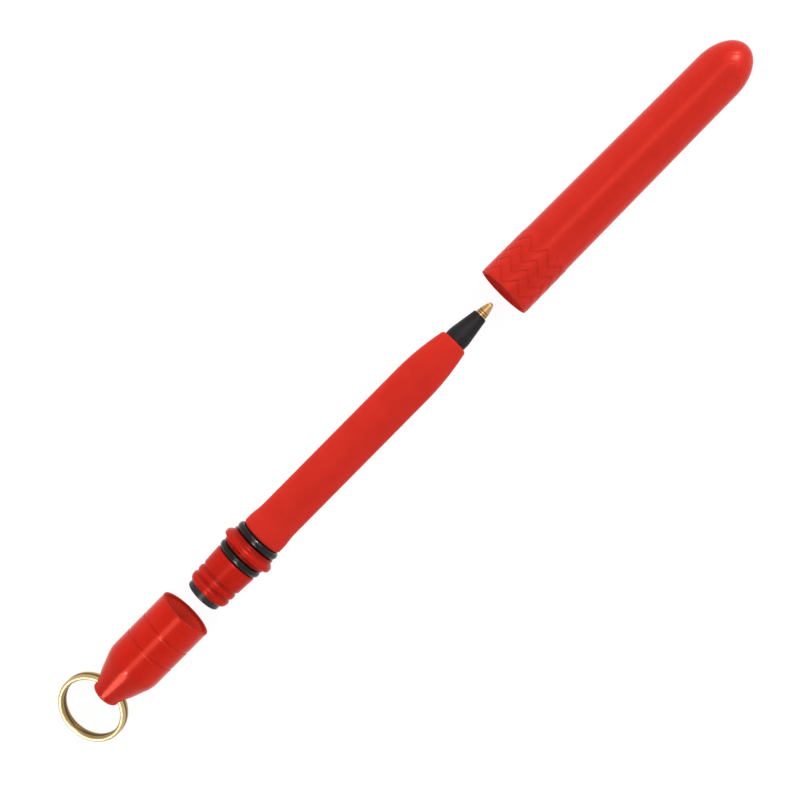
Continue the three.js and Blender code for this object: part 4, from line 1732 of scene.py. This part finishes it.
@dataclass
class SplitRing(SubAssembly):
    """The split ring: two flat turns of one wire, which climbs in the cross hole."""

    diameter: float = 16
    wire_width: float = 1.15
    wire_thickness: float = 1.16
    half_height: float = 1.18
    corner: float = 0.54
    centre_distance: float = 6.85
    climb_span: float = math.radians(30)
    droop: float = math.radians(20.357)
    steps: int = 420
    end_trim: float = 0.16
    end_round: float = 0.22
    # Where painted shade falls on the wire: inside the ring and between the turns.
    inner_fade: tuple[float, float] = (0.1, 0.45)
    inner_painted_shade: float = 0.5
    facing_fade: tuple[float, float] = (0.05, 0.4)

    def path(self) -> tuple[Array, Array]:
        """Give the middle of the wire as angles and heights.

        Returns:
            Angles from the hole, two turns less the climb's own span in all, and
            heights, which rise smoothly from the lower layer to the upper one.
        """
        layer = self.half_height - self.wire_thickness / 2
        reach = (4 * math.pi - self.climb_span) / 2
        angles = np.linspace(-reach, reach, self.steps)
        share = smooth_step(angles, -self.climb_span / 2, self.climb_span / 2)
        return angles, layer * (2 * share - 1)

    def section(self, count: int = 6) -> Array:
        """Give the wire's section: a square with round corners.

        Args:
            count: Number of points on each round corner.

        Returns:
            Points, outward and upward from the middle of the wire, anticlockwise.
        """
        inset = np.array([self.wire_width, self.wire_thickness]) / 2 - self.corner
        turn = np.linspace(0, math.pi / 2, count)
        quarters = np.arange(4) * math.pi / 2
        angles = (quarters[:, None] + turn).ravel()
        signs = np.repeat([[1, 1], [-1, 1], [-1, -1], [1, -1]], count, axis=0)
        round_part = np.column_stack([np.cos(angles), np.sin(angles)])
        return signs * inset + self.corner * round_part

    def make_wire(self) -> Skin:
        """Carry the section along the path and tilt the ring down to the table.

        A point of the section that lies (o, u) from the wire's middle becomes, at the
        angle a and height h, the point ((R + o) cos a, (R + o) sin a, h + u), moved so
        that the hole is the origin, then turned about Y by the droop. Near each cut
        end the section shrinks a little, which rounds the end.

        Returns:
            The skin with a UV map in millimetres, along the wire and round it.
        """
        angles, heights = self.path()
        section = self.section()
        radius = (self.diameter - self.wire_width) / 2
        along = (angles - angles[0]) * radius
        ends = np.minimum(along, along[-1] - along)
        trim = 1 - self.end_trim * (1 - smooth_step(ends, 0, self.end_round))
        out = radius + section[None, :, 0] * trim[:, None]
        up = heights[:, None] + section[None, :, 1] * trim[:, None]
        local = np.stack(
            [
                out * np.cos(angles)[:, None] - self.centre_distance,
                out * np.sin(angles)[:, None],
                up,
            ],
            axis=2,
        )
        cosine, sine = math.cos(self.droop), math.sin(self.droop)
        tilt = np.array([[cosine, 0, -sine], [0, 1, 0], [sine, 0, cosine]])
        points = (local @ tilt.T).reshape(-1, 3) * MM + np.array(hinge_point("ring_swing"))
        sides = len(section)
        number = np.arange(self.steps)[:-1, None] * sides + np.arange(sides)
        beside = np.roll(number, -1, axis=1)
        quads = np.stack([number, number + sides, beside + sides, beside], axis=2)
        fan = np.arange(1, sides - 1)
        last = (self.steps - 1) * sides
        first_end = np.column_stack([np.zeros_like(fan), fan, fan + 1])
        last_end = np.column_stack([np.zeros_like(fan), fan + 1, fan]) + last
        lap = np.linalg.norm(np.diff(section, axis=0), axis=1)
        round_it = np.concatenate([[0], np.cumsum(lap)])
        uvs = np.stack(np.broadcast_arrays(along[:, None], round_it[None]), axis=2)
        triangles = np.vstack([first_end, last_end])
        # Painted shade inside the ring and between the turns.
        shares = {"painted_shade": self.ring_painted_shade(section, heights).ravel()}
        return Skin(points, quads.reshape(-1, 4), triangles, uvs.reshape(-1, 2), shares)

    def ring_painted_shade(self, section: Array, heights: Array) -> Array:
        """Give how much painted shade each point of the wire gets.

        Args:
            section: Points of the wire's section, outward and upward.
            heights: Height of the wire's middle at every step.

        Returns:
            Shares, which are high inside the ring and where the turns face each other.
        """
        inward = smooth_step(-section[:, 0] / self.wire_width, *self.inner_fade)
        facing = -section[None, :, 1] * np.sign(heights)[:, None] / self.wire_thickness
        between = smooth_step(facing, *self.facing_fade)
        return np.clip(self.inner_painted_shade * inward[None, :] + between, 0, 1)

    def build(self) -> list[bpy.types.Object]:
        """Make and dress the split ring."""
        return [set_piece("key_ring", self.make_wire(), Body.RING, "split_ring", GOLD_WIRE)]


# Studio


@dataclass(frozen=True)
class Softbox:
    """A lamp with an even rectangular face that looks at the pen.

    Its direction is given by how far it leans from straight above, and by which way,
    counted from +X towards +Y. A lamp that isn't mirrored gives only soft light, and one
    that doesn't light shows only as a glint on shiny pieces.
    """

    name: str
    lean: float
    way: float
    distance: float
    width: float
    height: float
    strength: float
    mirrored: bool = True
    lights: bool = True

    def hang(self, aim: Vector) -> None:
        """Hang the lamp.

        Args:
            aim: Point that it looks at, in metres.
        """
        lean, way = math.radians(self.lean), math.radians(self.way)
        direction = Vector((
            math.sin(lean) * math.cos(way),
            math.sin(lean) * math.sin(way),
            math.cos(lean),
        ))
        data = bpy.data.lights.new(self.name, "AREA")
        data.shape = "RECTANGLE"
        data.size, data.size_y = self.width, self.height
        data.energy = self.strength
        lamp = add_object(self.name, data)
        lamp.visible_glossy = self.mirrored
        lamp.visible_diffuse = self.lights
        lamp.location = aim + direction * self.distance
        lamp.rotation_euler = direction.to_track_quat("Z", "Y").to_euler()


@dataclass
class Studio:
    """White table, soft light and the camera straight above the pen."""

    camera_height: float = 246.2
    camera_place: tuple[float, float] = (-2.11, -0.5)
    camera_roll: float = -45.3
    lens: float = 50
    sensor: float = 36
    room_light: float = 0.33
    table_glow: float = 0.92
    table_paper: float = 0.9
    table_dim: float = 0.12
    table_width: float = 6.0
    lamps: tuple[Softbox, ...] = (
        Softbox("overhead", 4, 95, 1.0, 1.7, 0.24, 3.6, mirrored=False),
        Softbox("left_wall", 84, 90, 1.1, 1.8, 0.6, 9.8, mirrored=False),
        Softbox("right_wall", 86, 270, 1.1, 1.8, 0.6, 6.8, mirrored=False),
        Softbox("mouth_side", 58, 0, 0.9, 0.9, 0.4, 3.9),
        Softbox("strip", 5, 92, 0.95, 1.6, 0.34, 5.6, lights=False),
        Softbox("ring_side", 61, 180, 0.8, 0.28, 0.38, 2.6, lights=False),
        Softbox("spark", 44, 178, 0.75, 0.08, 0.08, 1.3, lights=False),
        Softbox("dome_spark", 59, 0, 0.8, 0.14, 0.06, 5.0, lights=False),
    )

    def set_world(self) -> None:
        """Make the room: soft light, and plain white where the camera looks at it."""
        world = bpy.data.worlds.new("room")
        bpy.context.scene.world = world
        board = Board(world)
        seen = board.seen()
        soft, plain = (
            board.add("ShaderNodeBackground", {}, {"Color": (1, 1, 1, 1), "Strength": strength})
            for strength in (self.room_light, 1)
        )
        board.add("ShaderNodeOutputWorld", {}, {"Surface": board.choose(seen, soft, plain)})

    def lay_table(self) -> None:
        """Lay a wide white table that glows to the camera and still takes the shadow."""
        board = Board(bpy.data.materials.new("table"))
        seen = board.seen()
        paper, dim = (
            board.add("ShaderNodeBsdfDiffuse", {}, {"Color": (grey, grey, grey, 1)})
            for grey in (self.table_paper, self.table_dim)
        )
        glow = board.add("ShaderNodeEmission", {}, {"Strength": self.table_glow})
        lit = board.add("ShaderNodeAddShader", {}, {0: board.wire(dim), 1: board.wire(glow)})
        surface = board.choose(seen, paper, lit)
        board.add("ShaderNodeOutputMaterial", {}, {"Surface": surface})
        sides = np.array([[-1, -1, 0], [1, -1, 0], [1, 1, 0], [-1, 1, 0]])
        corners = sides * (self.table_width / 2)
        skin = Skin(corners, np.array([[0, 1, 2, 3]]), np.empty((0, 3), int))
        mesh = skin.to_mesh("table")
        mesh.materials.append(board.owner)
        add_object("table", mesh)

    def set_camera(self) -> None:
        """Hang the camera straight above the pen, turned so that the pen lies aslant."""
        data = bpy.data.cameras.new("camera")
        data.lens = self.lens
        data.sensor_width = self.sensor
        camera = add_object("camera", data)
        x, y = self.camera_place
        camera.location = (x * MM, y * MM, self.camera_height * MM)
        camera.rotation_euler = (0, 0, math.radians(self.camera_roll))
        bpy.context.scene.camera = camera

    def build(self) -> None:
        """Set up the view, the room, the table, the camera and the lamps."""
        bpy.context.scene.view_settings.view_transform = "Standard"
        self.set_camera()
        self.set_world()
        self.lay_table()
        for lamp in self.lamps:
            lamp.hang(Vector((0, 0, 0)))


def main() -> None:
    """Build the studio and every piece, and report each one."""
    logging.basicConfig(level=logging.INFO, format="%(name)s: %(message)s")
    Studio().build()
    pen = PenBody()
    for assembly in (pen, Refill(pen), Cap(), EndCap(), SplitRing()):
        pieces = assembly.build()
        LOG.info("%s: %d pieces", type(assembly).__name__, len(pieces))


if __name__ == "__main__":
    main()
